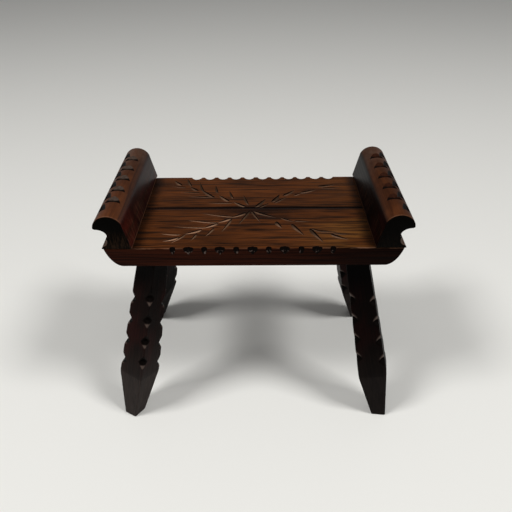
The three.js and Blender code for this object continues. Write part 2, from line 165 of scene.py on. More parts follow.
class StoolRail(bpy.types.PropertyGroup):
    """Sizes of the two scrolled rails and their carving."""
    reach: length("Reach", "Scroll centre outwards from the rail's inner foot", 38.5)
    rise: length("Rise", "Scroll centre above the seat", 42)
    half_width: length("Half width", "Half width of the scroll", 27.45)
    height: length("Height", "Height of the scroll above its centre", 25.45)
    start: angle("Start", "Where the scroll leaves the inner face", 158)
    lip_round: length("Lip", "Thickness of the lip's edge", 3.5)
    lip_edge: length("Lip edge", "Height of the lip's outer edge", 2)
    cove_depth: length("Cove depth", "Depth of the finger cove under the lip", 20)
    cove_foot: length("Cove foot", "Height of the foot of the finger cove", 26.5)
    arris: length("Arris", "Rounding of the rail's edges", 1.3)
    waver: length("Waver", "How far the worn faces depart from true", 0.25)
    cut_pitch: length("Cut pitch", "Spacing of the gouge cuts", 46)
    crest_count: count("Crest cuts", "Cuts along the crest", 5)
    crest_angle: angle("Crest angle", "Where on the scroll the crest cuts lie", 90)
    crest_left: length("Left crest shift", "Shift of the crest cuts along the left rail", -5)
    crest_right: length("Right crest shift", "Shift of the crest cuts along the right rail", 0)
    crest_run: length("Crest cut run", "Length of a cut on the crest", 21)
    crest_depth: length("Crest cut depth", "Depth of a cut on the crest at its stop", 5.6)
    crest_radius: length("Crest gouge", "Sweep of the gouge for the crest cuts", 75)
    lip_count: count("Lip cuts", "Cuts above the lip", 6)
    lip_angle: angle("Lip angle", "Where on the scroll the lip cuts lie", 54)
    lip_left: length("Left lip shift", "Shift of the lip cuts along the left rail", -8)
    lip_right: length("Right lip shift", "Shift of the lip cuts along the right rail", -12)
    lip_run: length("Lip cut run", "Length of a cut above the lip", 26)
    lip_depth: length("Lip cut depth", "Depth of a lip cut at its stop", 5.5)
    lip_radius: length("Lip gouge", "Sweep of the gouge for the lip cuts", 18)
    cut_stop: length("Cut stop", "How far the wall that stops a cut leans", 1.5)
    cut_stray: length("Stray", "How far a cut strays from its place", 1.2)
    chip_side: length("Chip side", "Reach of the chip at the corners of the outer face", 6)
    chip_radius: length("Chip radius", "Sweep of the chip at the corners", 15)


class StoolLeg(bpy.types.PropertyGroup):
    """Sizes of the four legs and their notches."""
    end_inset: length("End inset", "Leg top in from the planks' ends", 81.5)
    right_inset: length("Front right inset", "Front right leg's top in from the planks' ends", 78)
    front_inset: length("Front inset", "Front legs' tops in from the front edge", 44)
    rear_inset: length("Rear inset", "Rear legs' tops in from the rear edge", 37.5)
    splay_out: angle("Splay out", "Lean towards the stool's ends", 11.2)
    splay_fore: angle("Splay fore", "Lean towards the front or rear", 9)
    top_side: length("Top side", "Side of the square at the top", 42.5)
    shoulder_side: length("Shoulder side", "Side of the square at the shoulder", 59.5)
    foot_side: length("Foot side", "Side of the square at the foot", 30.5)
    taper: length("Taper", "Length of the tapered foot", 116.5)
    notch_count: count("Notches", "Notches on each corner", 4)
    notch_pitch: length("Notch pitch", "Spacing of the notches", 49.7)
    right_pitch: length("Front right pitch", "Spacing of the front right leg's notches", 46)
    notch_start: length("Notch start", "Lowest notch above the shoulder", 22)
    notch_depth: length("Notch depth", "Depth of a notch", 9.5)
    notch_half: length("Notch half", "Half the length of a notch", 14)
    notch_radius: length("Notch radius", "Sweep of the gouge for the notches", 16)
    arris: length("Arris", "Rounding of the long corners", 2.6)
    notch_wear: length("Notch wear", "Rounding of the notches' edges", 1.7)
    waver: length("Waver", "How far the worn faces depart from true", 0.5)
    tenon_radius: length("Tenon radius", "Radius of the round tenon", 14)
    mortise_cover: length("Mortise cover", "Wood left above the tenon", 9)


class StoolFinish(bpy.types.PropertyGroup):
    """Colours of the stained and varnished wood."""
    seat_light: colour("Seat light", "Seat between the growth rings", 0x50290e)
    seat_dark: colour("Seat dark", "Seat on the growth rings", 0x221106)
    seat_gold: colour("Seat gold", "Golden patches of the seat", 0x5e3a17)
    edge_light: colour("Edge light", "Long edges between the growth rings", 0x30140a)
    edge_dark: colour("Edge dark", "Long edges on the growth rings", 0x120503)
    crest_light: colour("Crest light", "Rail tops between the growth rings", 0x4e2a15)
    crest_dark: colour("Crest dark", "Rail tops on the growth rings", 0x2c150b)
    # Grey drawn on the rail tops towards the rear is painted sheen; the chips use the same grey
    crest_grey_and_sheen: colour("Crest grey", "Rail tops where the varnish has dulled", 0x46362c)
    face_red: colour("Face red", "Inner faces of the rails", 0x270704)
    face_dark: colour("Face dark", "Inner faces of the rails on the growth rings", 0x0c0301)
    end_grain: colour("End grain", "End grain, where the stain sinks in", 0x030201)
    end_brown: colour("End brown", "Streaks in the end grain", 0x2a1c12)
    leg_brown: colour("Leg brown", "Legs between the growth rings", 0x100705)
    leg_red: colour("Leg red", "Red tint halfway up the legs", 0x220907)
    leg_black: colour("Leg black", "Legs on the growth rings", 0x040202)
    # Grey of the tapered feet and lower legs: thinner stain and a painted sheen of the pale floor
    leg_grey_and_sheen: colour("Leg grey", "Tapered feet, where the stain is thin", 0x2b2320)
    worn: colour("Worn", "Bare wood on rubbed edges", 0x7a5640)
    # Painted highlight and shade: a stroke's side is drawn pale, half pale or dark by which way it faces
    bare_and_lit_cut: colour("Cut", "Bare side of a knife stroke", 0x80604a)
    stroke_half_lit: colour("Cut dim", "Sides of a stroke that runs towards the front", 0x4e3a2a)
    cut_shade: colour("Cut shade", "Stained side of a knife stroke", 0x1a0f09)
    # Pale tones of the cuts: bare wood and painted highlight
    bare_and_lit_facet: colour("Facet", "Bare patches of the scoops and chips", 0x4c403a)
    cut_flat: colour("Cut flat", "Flats of the crest cuts and notches", 0x42362f)
    # Dark of the deep cuts: gathered stain and painted shade
    soot_and_shade: colour("Soot", "Stain that gathers in the deep cuts", 0x060302)
    beech: colour("Beech", "Dowels and wedges", 0xb48c60)
    steel: colour("Steel", "Screws", 0x8d8880)


class StoolStage(bpy.types.PropertyGroup):
    """Floor, light and camera."""
    floor: colour("Floor", "Colour of the floor", 0xedece7)
    floor_size: length("Floor size", "Side of the floor", 40000)
    lamp_power: FloatProperty(name="Lamp power", description="Power of each lamp", default=126, unit='POWER')
    lamp_size: length("Lamp size", "Side of each lamp", 1300)
    lamp_distance: length("Lamp distance", "Lamps from the middle of the floor", 5200)
    lamp_out: share("Lamp out", "Lamps sideways for each unit of height", 0.56)
    lamp_fore: share("Lamp fore", "Lamps forward for each unit of height", 0.29)
    horizon: share("Horizon", "Brightness of the room near the floor's level", 0.62)
    ceiling: share("Ceiling", "Brightness of the room overhead", 0.2)
    camera_place: FloatVectorProperty(name="Camera place", description="Where the camera stands",
                                      default=(0.0130, -0.9762, 0.9671), subtype='XYZ', unit='LENGTH')
    camera_pitch: angle("Camera pitch", "How far the camera looks down", 34.309)
    camera_yaw: angle("Camera yaw", "How far the camera turns to its left", 0.62)
    camera_roll: angle("Camera roll", "How far the camera leans", 0.642)
    camera_lens: FloatProperty(name="Camera lens", description="Focal length on a 36 mm sensor",
                               default=38.146, unit='CAMERA')


# Meshes

def new_object(name, mesh):
    piece = bpy.data.objects.new(name, mesh)
    bpy.context.scene.collection.objects.link(piece)
    return piece


def mesh_object(name, points, faces):
    mesh = bpy.data.meshes.new(name)
    mesh.from_pydata([tuple(point) for point in points], [], faces)
    mesh.update()
    return new_object(name, mesh)


def discard(*things):
    for thing in things:
        mesh = thing.data
        bpy.data.objects.remove(thing)
        bpy.data.meshes.remove(mesh)


def settle(piece):
    """Turns a piece's modifiers into its plain mesh."""
    graph = bpy.context.evaluated_depsgraph_get()
    result = bpy.data.meshes.new_from_object(piece.evaluated_get(graph))
    piece.modifiers.clear()
    old = piece.data
    piece.data = result
    bpy.data.meshes.remove(old)
    return piece


def carry(mesh, name, values, kind='FLOAT', domain='POINT'):
    """Gives a mesh values that recipes and materials read by name."""
    layer = mesh.attributes.new(name, kind, domain)
    layer.data.foreach_set("vector" if kind == 'FLOAT_VECTOR' else "value", values)


def face_outwards(piece):
    work = bmesh.new()
    work.from_mesh(piece.data)
    bmesh.ops.remove_doubles(work, verts=work.verts, dist=MERGE_DISTANCE)
    bmesh.ops.dissolve_degenerate(work, edges=work.edges, dist=MERGE_DISTANCE)
    bmesh.ops.recalc_face_normals(work, faces=work.faces)
    work.to_mesh(piece.data)
    work.free()


def hand_over(piece, node):
    """Turns a finished piece's faces outwards, shades it and puts it in place of its node."""
    face_outwards(piece)
    piece.data.shade_smooth()
    piece.data.set_sharp_from_angle(angle=SMOOTH_ANGLE)
    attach(piece, "root")
    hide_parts(node)


def round_ring(centre, axis, radius, facets):
    """Points of a circle about an axis."""
    side = axis.orthogonal().normalized()
    turn = 2 * math.pi / facets
    return [centre + radius * (Matrix.Rotation(turn * i, 3, axis) @ side) for i in range(facets)]


def tube_faces(ring_count, facets):
    """Faces of a closed tube of rings: bands between the rings and a cap at each end."""
    faces = [tuple(reversed(range(facets)))]
    for ring in range(ring_count - 1):
        start = ring * facets
        for i in range(facets):
            j = (i + 1) % facets
            faces.append((start + i, start + j, start + facets + j, start + facets + i))
    last = (ring_count - 1) * facets
    faces.append(tuple(range(last, last + facets)))
    return faces


def rod(name, start, end, radius, facets=48):
    """A round bar between two points."""
    axis = (end - start).normalized()
    points = round_ring(start, axis, radius, facets) + round_ring(end, axis, radius, facets)
    return mesh_object(name, points, tube_faces(2, facets))


def upright_bar(name, place, rings, facets=32):
    """An upright round bar through rings, each given by its radius and its height."""
    points = []
    for radius, level in rings:
        points += round_ring(Vector((place.x, place.y, level)), Z, radius, facets)
    return mesh_object(name, points, tube_faces(len(rings), facets))


def joined(name, *shells):
    """One mesh from several closed shells."""
    points = []
    faces = []
    for shell in shells:
        start = len(points)
        points += [vertex.co.copy() for vertex in shell.data.vertices]
        faces += [tuple(start + i for i in face.vertices) for face in shell.data.polygons]
    discard(*shells)
    return mesh_object(name, points, faces)


def gouge(name, valley, lip, facing, radius, foot=None, facets=56):
    """What a round gouge takes out between a lip and its deepest point.

    With a foot the cut is stopped at its deepest point by a wall that runs up to the foot. The corners
    of its faces carry how far they lie from that wall, below zero on the wall itself."""
    run = (lip - valley).normalized()
    lift = (facing - facing.dot(run) * run).normalized() * radius
    circle = round_ring(valley + lift, run, radius, facets)
    reach = radius + OVERRUN + (lip - valley).length
    far = [point + run * reach for point in circle]
    if foot is None:
        near = [point - run * reach for point in circle]
    else:
        wall = (foot - valley).normalized()
        normal = (run - run.dot(wall) * wall).normalized()
        near = [point + run * (normal.dot(valley - point) / normal.dot(run)) for point in circle]
    cutter = mesh_object(name, near + far, tube_faces(2, facets))
    along = []
    for face in cutter.data.polygons:
        on_wall = max(face.vertices) < facets
        for i in face.vertices:
            run_to_wall = 0.0 if i < facets else (far[i - facets] - near[i - facets]).length
            along.append(-OVERRUN if on_wall else run_to_wall)
    carry(cutter.data, "cut_along", along, domain='CORNER')
    return cutter


def slab(name, low, high):
    """A squared block between two corners, used as a cutter."""
    points = [(x, y, z) for z in (low[2], high[2]) for y in (low[1], high[1]) for x in (low[0], high[0])]
    faces = [(0, 2, 3, 1), (4, 5, 7, 6), (0, 1, 5, 4), (2, 6, 7, 3), (0, 4, 6, 2), (1, 3, 7, 5)]
    return mesh_object(name, points, faces)


def carve(piece, cutter):
    """Takes a cutter's shape out of a piece; the cut faces keep the cutter's material."""
    face_outwards(cutter)
    cut = piece.modifiers.new(cutter.name, 'BOOLEAN')
    cut.operation = 'DIFFERENCE'
    cut.solver = 'EXACT'
    cut.use_self = True
    cut.material_mode = 'TRANSFER'
    cut.object = cutter


# Node groups for meshes

class Graph:
    """A node tree under construction."""

    def __init__(self, tree):
        self.tree = tree

    def result(self, socket):
        return socket

    def node(self, kind, settings=(), inputs=(), output=0):
        """Adds a node: its settings first, a ramp's stops among them, then its sockets, each filled or
        linked. Returns one of its outputs, if it has any."""
        node = self.tree.nodes.new(kind)
        for key, value in dict(settings).items():
            if key == "stops":
                ramp = node.color_ramp.elements
                while len(ramp) < len(value):
                    ramp.new(1)
                for element, (place, tone) in zip(ramp, value):
                    element.position = place
                    element.color = (tone, tone, tone, 1)
            else:
                setattr(node, key, value)
        for key, value in dict(inputs).items():
            source = getattr(value, "socket", value)
            if isinstance(source, bpy.types.NodeSocket):
                self.tree.links.new(source, node.inputs[key])
            else:
                node.inputs[key].default_value = source
        return self.result(node.outputs[output]) if len(node.outputs) else None


class Recipe(Graph):
    """A node group with named inputs that makes one mesh."""

    def __init__(self, name):
        super().__init__(bpy.data.node_groups.new(name, 'GeometryNodeTree'))
        self.tree.is_modifier = True
        self.entry = self.tree.nodes.new('NodeGroupInput')
        self.take("Geometry", 'NodeSocketGeometry')
        self.tree.interface.new_socket("Geometry", in_out='OUTPUT', socket_type='NodeSocketGeometry')

    def take(self, name, kind, default=None):
        """Adds an input and returns the socket that gives it to the tree."""
        socket = self.tree.interface.new_socket(name, in_out='INPUT', socket_type=kind)
        if default is not None:
            socket.default_value = default
        return self.entry.outputs[name]

    def shape_of(self, source):
        return self.node('GeometryNodeObjectInfo', inputs={"Object": source}, output="Geometry")

    def finish(self, shape, material):
        """Ends the tree with plain geometry in one material."""
        plain = self.node('GeometryNodeRealizeInstances', inputs={"Geometry": shape})
        dressed = self.node('GeometryNodeSetMaterial', inputs={"Geometry": plain, "Material": material})
        self.node('NodeGroupOutput', inputs={"Geometry": dressed})
        return self.tree


def run_recipe(name, tree, values):
    """Makes a new object from a tree, with its inputs set by the sockets' identifiers."""
    piece = new_object(name, bpy.data.meshes.new(name))
    modifier = piece.modifiers.new(tree.name, 'NODES')
    modifier.node_group = tree
    for socket in tree.interface.items_tree:
        if socket.item_type == 'SOCKET' and socket.in_out == 'INPUT' and socket.name in values:
            modifier[socket.identifier] = values[socket.name]
    piece.update_tag()
    return settle(piece)


def drawn_recipe():
    """Draws an outline out along Y in even sections and lets its faces waver a little."""
    recipe = Recipe("drawn_bar")
    outline = recipe.take("Outline", 'NodeSocketObject')
    front = recipe.take("Front", 'NodeSocketFloat', 0.0)
    back = recipe.take("Back", 'NodeSocketFloat', 1.0)
    sections = recipe.take("Sections", 'NodeSocketInt', 8)
    waver = recipe.take("Waver", 'NodeSocketFloat', 0.0)
    ripple = recipe.take("Ripple", 'NodeSocketFloat', 20.0)
    seed = recipe.take("Seed", 'NodeSocketFloat', 0.0)
    material = recipe.take("Material", 'NodeSocketMaterial')
    loop = recipe.shape_of(outline)
    profile = recipe.node('GeometryNodeMeshToCurve', inputs={"Mesh": loop})
    start = recipe.node('ShaderNodeCombineXYZ', inputs={"Y": front})
    end = recipe.node('ShaderNodeCombineXYZ', inputs={"Y": back})
    line = recipe.node('GeometryNodeCurvePrimitiveLine', inputs={"Start": start, "End": end})
    path = recipe.node('GeometryNodeResampleCurve', inputs={"Curve": line, "Count": sections})
    bar = recipe.node('GeometryNodeCurveToMesh',
                      inputs={"Curve": path, "Profile Curve": profile, "Fill Caps": True})
    place = recipe.node('GeometryNodeInputPosition')
    cloud = recipe.node('ShaderNodeTexNoise', {"noise_dimensions": '4D'},
                        {"Vector": place, "W": seed, "Scale": ripple, "Detail": 2.0}, "Fac")
    inwards = recipe.node('ShaderNodeMath', {"operation": 'MULTIPLY'}, {0: cloud, 1: waver})
    facing = recipe.node('GeometryNodeInputNormal')
    offset = recipe.node('ShaderNodeVectorMath', {"operation": 'SCALE'}, {0: facing, "Scale": inwards})
    worn = recipe.node('GeometryNodeSetPosition', inputs={"Geometry": bar, "Offset": offset})
    return recipe.finish(worn, material)


def row_recipe():
    """A row of cutters, with every second one from another object, each a little off its place."""
    recipe = Recipe("cutter_row")
    first = recipe.take("First cutter", 'NodeSocketObject')
    second = recipe.take("Second cutter", 'NodeSocketObject')
    number = recipe.take("Count", 'NodeSocketInt', 5)
    start = recipe.take("Start", 'NodeSocketVector')
    step = recipe.take("Step", 'NodeSocketVector')
    stray = recipe.take("Stray", 'NodeSocketVector')
    seed = recipe.take("Seed", 'NodeSocketInt', 1)
    material = recipe.take("Material", 'NodeSocketMaterial')
    line = recipe.node('GeometryNodeMeshLine',
                       inputs={"Count": number, "Start Location": start, "Offset": step})
    low = recipe.node('ShaderNodeVectorMath', {"operation": 'SCALE'}, {0: stray, "Scale": -1.0})
    off = recipe.node('FunctionNodeRandomValue', {"data_type": 'FLOAT_VECTOR'},
                      {0: low, 1: stray, "Seed": seed})
    places = recipe.node('GeometryNodeSetPosition', inputs={"Geometry": line, "Offset": off})
    index = recipe.node('GeometryNodeInputIndex')
    odd = recipe.node('ShaderNodeMath', {"operation": 'MODULO'}, {0: index, 1: 2.0})
    even = recipe.node('ShaderNodeMath', {"operation": 'SUBTRACT'}, {0: 1.0, 1: odd})
    rows = []
    for cutter, chosen in ((first, even), (second, odd)):
        shape = recipe.shape_of(cutter)
        rows.append(recipe.node('GeometryNodeInstanceOnPoints',
                                inputs={"Points": places, "Instance": shape, "Selection": chosen}))
    both = recipe.tree.nodes.new('GeometryNodeJoinGeometry')
    for row in rows:
        recipe.tree.links.new(row, both.inputs[0])
    return recipe.finish(both.outputs[0], material)


def stroke_recipe():
    """Knife strokes on points that carry each stroke's turn, reach, breadth and depth."""
    recipe = Recipe("knife_strokes")
    points = recipe.take("Points", 'NodeSocketObject')
    cutter = recipe.take("Cutter", 'NodeSocketObject')
    material = recipe.take("Material", 'NodeSocketMaterial')

    def carried(name):
        return recipe.node('GeometryNodeInputNamedAttribute', {"data_type": 'FLOAT'}, {"Name": name})

    places = recipe.shape_of(points)
    shape = recipe.shape_of(cutter)
    turn = recipe.node('ShaderNodeCombineXYZ', inputs={"Z": carried("turn")})
    size = recipe.node('ShaderNodeCombineXYZ',
                       inputs={"X": carried("reach"), "Y": carried("breadth"), "Z": carried("depth")})
    strokes = recipe.node('GeometryNodeInstanceOnPoints',
                          inputs={"Points": places, "Instance": shape, "Rotation": turn, "Scale": size})
    return recipe.finish(strokes, material)


# Materials

def span(low, high):
    """A range between two lengths in millimetres."""
    return low * MM, high * MM


SIDE_REACH = 100 * MM
RING_DRIFT = 34 * MM
RING_SHIVER = 2.2 * MM
SEAT_RING = 6.5 * MM
RAIL_RING = 7.5 * MM
LEG_RING = 6 * MM
RAIL_PITH_OFF = 20 * MM
LEG_PITH = (14 * MM, -22 * MM)
VEIN_FADE = 18 * MM
SEAT_RELIEF = 0.22 * MM
GRAIN_RELIEF = 0.2 * MM
CUT_RELIEF = 0.08 * MM
CUT_GRAIN = 260
CLOUD_SPAN = (0.3, 0.7)
VARNISH_ROUGHNESS = 0.3
SHEEN_GLOSS = 0.02
PLAIN_GLOSS = 0.5
RING_STOPS = ((0.0, 0.10), (0.45, 0.25), (0.78, 0.95), (0.93, 1.0), (1.0, 0.10))


def maths(operation, turned=False):
    """A method that adds one Math node, with its own value last where it is turned."""
    def method(self, *others):
        values = (*others, self) if turned else (self, *others)
        return self.finish.node('ShaderNodeMath', {"operation": operation}, dict(enumerate(values)))
    return method


class Term:
    """A socket of a material; arithmetic on it adds the matching Math nodes."""

    def __init__(self, finish, socket):
        self.finish = finish
        self.socket = socket

    __add__ = maths('ADD')
    __radd__ = maths('ADD')
    __sub__ = maths('SUBTRACT')
    __rsub__ = maths('SUBTRACT', turned=True)
    __mul__ = maths('MULTIPLY')
    __rmul__ = maths('MULTIPLY')
    __truediv__ = maths('DIVIDE')
    __abs__ = maths('ABSOLUTE')
    fraction = maths('FRACT')
    floor = maths('FLOOR')
    root = maths('SQRT')
    highest = maths('MAXIMUM')
    lowest = maths('MINIMUM')
    exponential = maths('EXPONENT')

    def squared(self):
        return self * self

    def fading(self):
        """Falls from 1 towards 0 as the value grows."""
        return (self * -1.0).exponential()

    def ease(self, low, high, start=0.0, end=1.0):
        """Runs smoothly from start to end while the value goes from low to high."""
        return self.finish.node(
            'ShaderNodeMapRange', {"interpolation_type": 'SMOOTHSTEP'},
            {"Value": self, "From Min": low, "From Max": high, "To Min": start, "To Max": end})

    def by_side(self, left, right):
        """Runs from a value at the stool's left to one at its right, for a place along X."""
        return self.ease(-SIDE_REACH, SIDE_REACH, left, right)


class Finish(Graph):
    """A material under construction."""

    def __init__(self, name):
        self.material = bpy.data.materials.new(name)
        self.material.use_nodes = True
        super().__init__(self.material.node_tree)
        self.tree.nodes.clear()

    def result(self, socket):
        return Term(self, socket)

    def place(self):
        return self.node('ShaderNodeTexCoord', output="Object")

    def carried(self, name, output="Fac"):
        return self.node('ShaderNodeAttribute', {"attribute_name": name}, output=output)

    def parts(self, vector):
        split = self.node('ShaderNodeSeparateXYZ', inputs={"Vector": vector}).socket.node
        return [Term(self, socket) for socket in split.outputs]

    def vector(self, x, y, z):
        return self.node('ShaderNodeCombineXYZ', inputs={"X": x, "Y": y, "Z": z})

    def facing(self, output="Normal"):
        return self.parts(self.node('ShaderNodeNewGeometry', output=output))

    def cloud(self, vector, scale, detail, roughness):
        return self.node('ShaderNodeTexNoise', {"normalize": True},
                         {"Vector": vector, "Scale": scale, "Detail": detail, "Roughness": roughness}, "Fac")

    def grain(self, place, stretch, detail=2.0, roughness=0.6):
        """Clouds drawn out by how much finer they are along each coordinate."""
        x, y, z = (part * scale for part, scale in zip(place, stretch))
        return self.cloud(self.vector(x, y, z), 1.0, detail, roughness)

    def chance(self, value):
        """A random number for each whole value."""
        return self.node('ShaderNodeTexWhiteNoise', {"noise_dimensions": '1D'}, {"W": value}, "Value")

    def ramp(self, value, stops):
        return self.node('ShaderNodeValToRGB', {"stops": stops}, {"Fac": value})

    def mix(self, amount, first, second, blend='MIX'):
        def filled(tone):
            return tone if isinstance(tone, Term) else (*tone, 1)
        return self.node('ShaderNodeMix', {"data_type": 'RGBA', "blend_type": blend},
                         {0: amount, 6: filled(first), 7: filled(second)}, 2)

    def shaded(self, tone, amount):
        """A colour times a number."""
        grey = self.node('ShaderNodeCombineColor', inputs={"Red": amount, "Green": amount, "Blue": amount})
        return self.mix(1.0, tone, grey, 'MULTIPLY')

    def close(self, base, roughness, height=None, bump=GRAIN_RELIEF, gloss=SHEEN_GLOSS, varnish=0.0,
              metal=0.0):
        """Ends the material in a finished surface."""
        inputs = {"Base Color": base, "Roughness": roughness, "Specular IOR Level": gloss,
                  "Metallic": metal, "Coat Weight": varnish, "Coat Roughness": VARNISH_ROUGHNESS}
        if height is not None:
            inputs["Normal"] = self.node('ShaderNodeBump', inputs={"Strength": 1.0, "Distance": bump,
                                                                   "Height": height})
        surface = self.node('ShaderNodeBsdfPrincipled', inputs=inputs)
        self.node('ShaderNodeOutputMaterial', inputs={"Surface": surface})
        return self.material


# How fine each pattern of pine is along, across and up its grain
PINE_DRIFT = (2.2, 9, 9)
PINE_SHIVER = (9, 60, 60)
PINE_BANDS = (1.6, 48, 48)
PINE_FIBRES = (26, 900, 900)
PINE_STREAKS = (7, 260, 260)


def pine(finish, place, pith, pitch, knots=()):
    """Growth rings and fibres of pine whose grain runs along the first coordinate of its place.

    Returns the rings as 0 between them to 1 on them, the broad shade, the fibres, the streaks, a height
    and how near the heart of a knot is."""
    along, across, up = place
    drift = finish.grain(place, PINE_DRIFT, roughness=0.45) - 0.5
    shiver = finish.grain(place, PINE_SHIVER, roughness=0.5) - 0.5
    side = across - pith[0]
    deep = up - pith[1]
    radius = (side.squared() + deep.squared()).root() + drift * RING_DRIFT + shiver * RING_SHIVER
    heart = 0.0
    for knot in knots:
        knot_along, knot_across, half_along, half_across, lift = (value * MM for value in knot)
        lengthways = (along - knot_along) / half_along
        sideways = (across - knot_across) / half_across
        hill = (lengthways.squared() + sideways.squared()).fading()
        radius = radius + hill * lift
        heart = hill + heart
    turns = radius / pitch
    strength = finish.chance(turns.floor()).ease(0.0, 1.0, 0.45, 1.0)
    rings = finish.ramp(turns.fraction(), RING_STOPS) * strength
    bands = finish.grain(place, PINE_BANDS, 1.0, 0.4)
    fibres = finish.grain(place, PINE_FIBRES, 3.0)
    streaks = finish.grain(place, PINE_STREAKS)
    height = rings * 0.55 + fibres * 0.45
    return rings, bands, fibres, streaks, height, heart


# How fine the seat's patterns are along X, Y and Z
SEAT_THIN = (16, 420, 420)
SEAT_PATCH = (7, 16, 16)
SEAT_LINES = (5, 480, 480)
SEAT_BLOT = (30, 60, 60)
SEAT_RUB = (22, 80, 80)
VEIN_WANDER = (14, 4, 4)
# Where the seat's looks change: along X, or as far from the gap, the rails, the edges or the top
GOLD_ALONG = span(60, 190)
GOLD_ACROSS = span(-60, -20)
DARK_CENTRE = 10 * MM
DARK_ALONG = span(30, 110)
DARK_ACROSS = span(-70, -30)
DARK_END = span(-5, 5)
REAR_ALONG = span(60, 180)
REAR_ACROSS = span(0, 20)
VEIN_STRAY = 9 * MM
HEART_SPREAD = 60 * MM
GAP_SIDES = span(-1, 1)
GAP_EDGE = span(3, 5.4)
GAP_HALO = span(4, 11)
GAP_BLOT = 6 * MM
RAIL_BLOT = 18 * MM
RAIL_HALO = span(1, 26)
EDGE_DARKER = span(-40, 250)
ARRIS_IN = span(0.4, 2.6)
ARRIS_DOWN = span(0.2, 3)
RUB_ENDS = span(130, 170)


def seat_finish(colours, name, pith, knots, veins):
    """Stained pine, its grain along the seat, darker on the edges, by the rails and along the gap."""
    finish = Finish(name)
    place = finish.parts(finish.place())
    x, y, z = place
    on_top = finish.facing()[2].ease(0.35, 0.8)
    from_gap = y - GAP_MIDDLE
    gap_far = abs(from_gap)
    rings, bands, fibres, streaks, height, heart = pine(finish, (x, from_gap, z), pith, SEAT_RING, knots)
    grain = rings * 0.3 + bands.ease(*CLOUD_SPAN) * 0.15 + (fibres - 0.5) * 0.5
    thin = finish.grain(place, SEAT_THIN)
    tone = (grain + (streaks - 0.5) * 2.2 + (thin - 0.5) * 2.4 + 0.14).ease(0.0, 0.85)
    patch = finish.grain(place, SEAT_PATCH, roughness=0.5)
    golden = x.ease(*GOLD_ALONG) * from_gap.ease(*GOLD_ACROSS, 1.0, 0.2)
    light = finish.mix(golden * patch.ease(0.35, 0.6), colours.seat_light, colours.seat_gold)
    top = finish.mix(tone, light, colours.seat_dark)
    middle = abs(x - DARK_CENTRE).ease(*DARK_ALONG, 1.0, 0.0) * from_gap.ease(*DARK_ACROSS, 0.3, 1.0)
    top = finish.shaded(top, 1.0 - middle * from_gap.ease(*DARK_END, 0.3, 0.0))
    top = finish.shaded(top, 1.0 - x.ease(*REAR_ALONG) * from_gap.ease(*REAR_ACROSS) * 0.22)
    top = finish.shaded(top, patch.ease(0.3, 0.72, 0.76, 1.26))
    # Dark streaks that run with the grain
    wander = (finish.grain(place, VEIN_WANDER, roughness=0.5) - 0.5) * VEIN_STRAY
    for *lengths, strength in veins:
        start, end, across, half = (value * MM for value in lengths)
        run = x.ease(start - VEIN_FADE, start) * x.ease(end, end + VEIN_FADE, 1.0, 0.0)
        off = abs(from_gap + wander - across)
        top = finish.shaded(top, 1.0 - run * off.ease(half * 0.4, half, strength, 0.0))
    # Stain stands along the gap; beside the rails the seat darkens with stain and painted shade
    blot = finish.grain(place, SEAT_BLOT, roughness=0.5) - 0.5
    bell = (x / HEART_SPREAD).squared().fading()
    front_side = from_gap.ease(*GAP_SIDES, 1.0, 0.55)
    halo = (gap_far + blot * GAP_BLOT) / ((bell * 2.2 + 1.0) * front_side)
    gap_shade = gap_far.ease(*GAP_EDGE, 0.05, 1.0) * halo.ease(*GAP_HALO, 0.4, 1.0)
    rail_far = (RAIL_INNER_X - abs(x)) + blot * RAIL_BLOT
    rail_stain_and_shade = rail_far.ease(*RAIL_HALO, 0.34, 1.0)
    top = finish.shaded(top, gap_shade * rail_stain_and_shade)
    if knots:
        top = finish.shaded(top, heart.ease(0.35, 1.0, 1.0, 0.35))
    lines = finish.grain(place, SEAT_LINES)
    edge_tone = (grain + (lines - 0.5) * 2.0 + 0.15).ease(0.0, 0.8)
    edge = finish.mix(edge_tone, colours.edge_light, colours.edge_dark)
    edge = finish.shaded(edge, x.ease(*EDGE_DARKER, 1.0, 0.25))
    base = finish.mix(on_top, edge, top)
    # The front and rear top arrises are rubbed bare, most of all towards the ends
    edge_far = (y - SEAT_FRONT).lowest(SEAT_BACK - y)
    arris = edge_far.ease(*ARRIS_IN, 1.0, 0.0) * (SEAT_TOP - z).ease(*ARRIS_DOWN, 1.0, 0.0)
    rub = finish.grain(place, SEAT_RUB, 3.0).ease(0.42, 0.62)
    ends = abs(x).ease(*RUB_ENDS, 0.3, 0.8)
    base = finish.mix(arris * rub * ends, base, colours.worn)
    roughness = 0.42 + (1.0 - rings) * 0.1 + (patch - 0.5) * 0.16
    varnish = on_top * (0.07 + patch * 0.09)
    return finish.close(base, roughness, height, SEAT_RELIEF, varnish=varnish)


# How fine the rails' patterns are along X, Y and Z
RAIL_MOTTLE = (60, 30, 60)
RAIL_PATCH = (16, 8, 16)
RAIL_SCRATCH = (30, 420, 26)
END_STREAK = (420, 20, 60)
# Where the rails' looks change: along Y, or as far up from the seat, out from the foot or in from the end
CREST_SHEEN_ALONG = span(10, 130)
CREST_ALONG = span(0, 90)
RED_ALONG = span(-120, -60)
SHEEN_ALONG = span(-20, 70)
SCRATCH_UP = span(30, 44)
STREAK_UP = span(10, 42)
FOOT_UP = span(0.5, 2.5)
FOOT_OUT = span(0.2, 1.6)
END_RUB = span(1, 4.5)


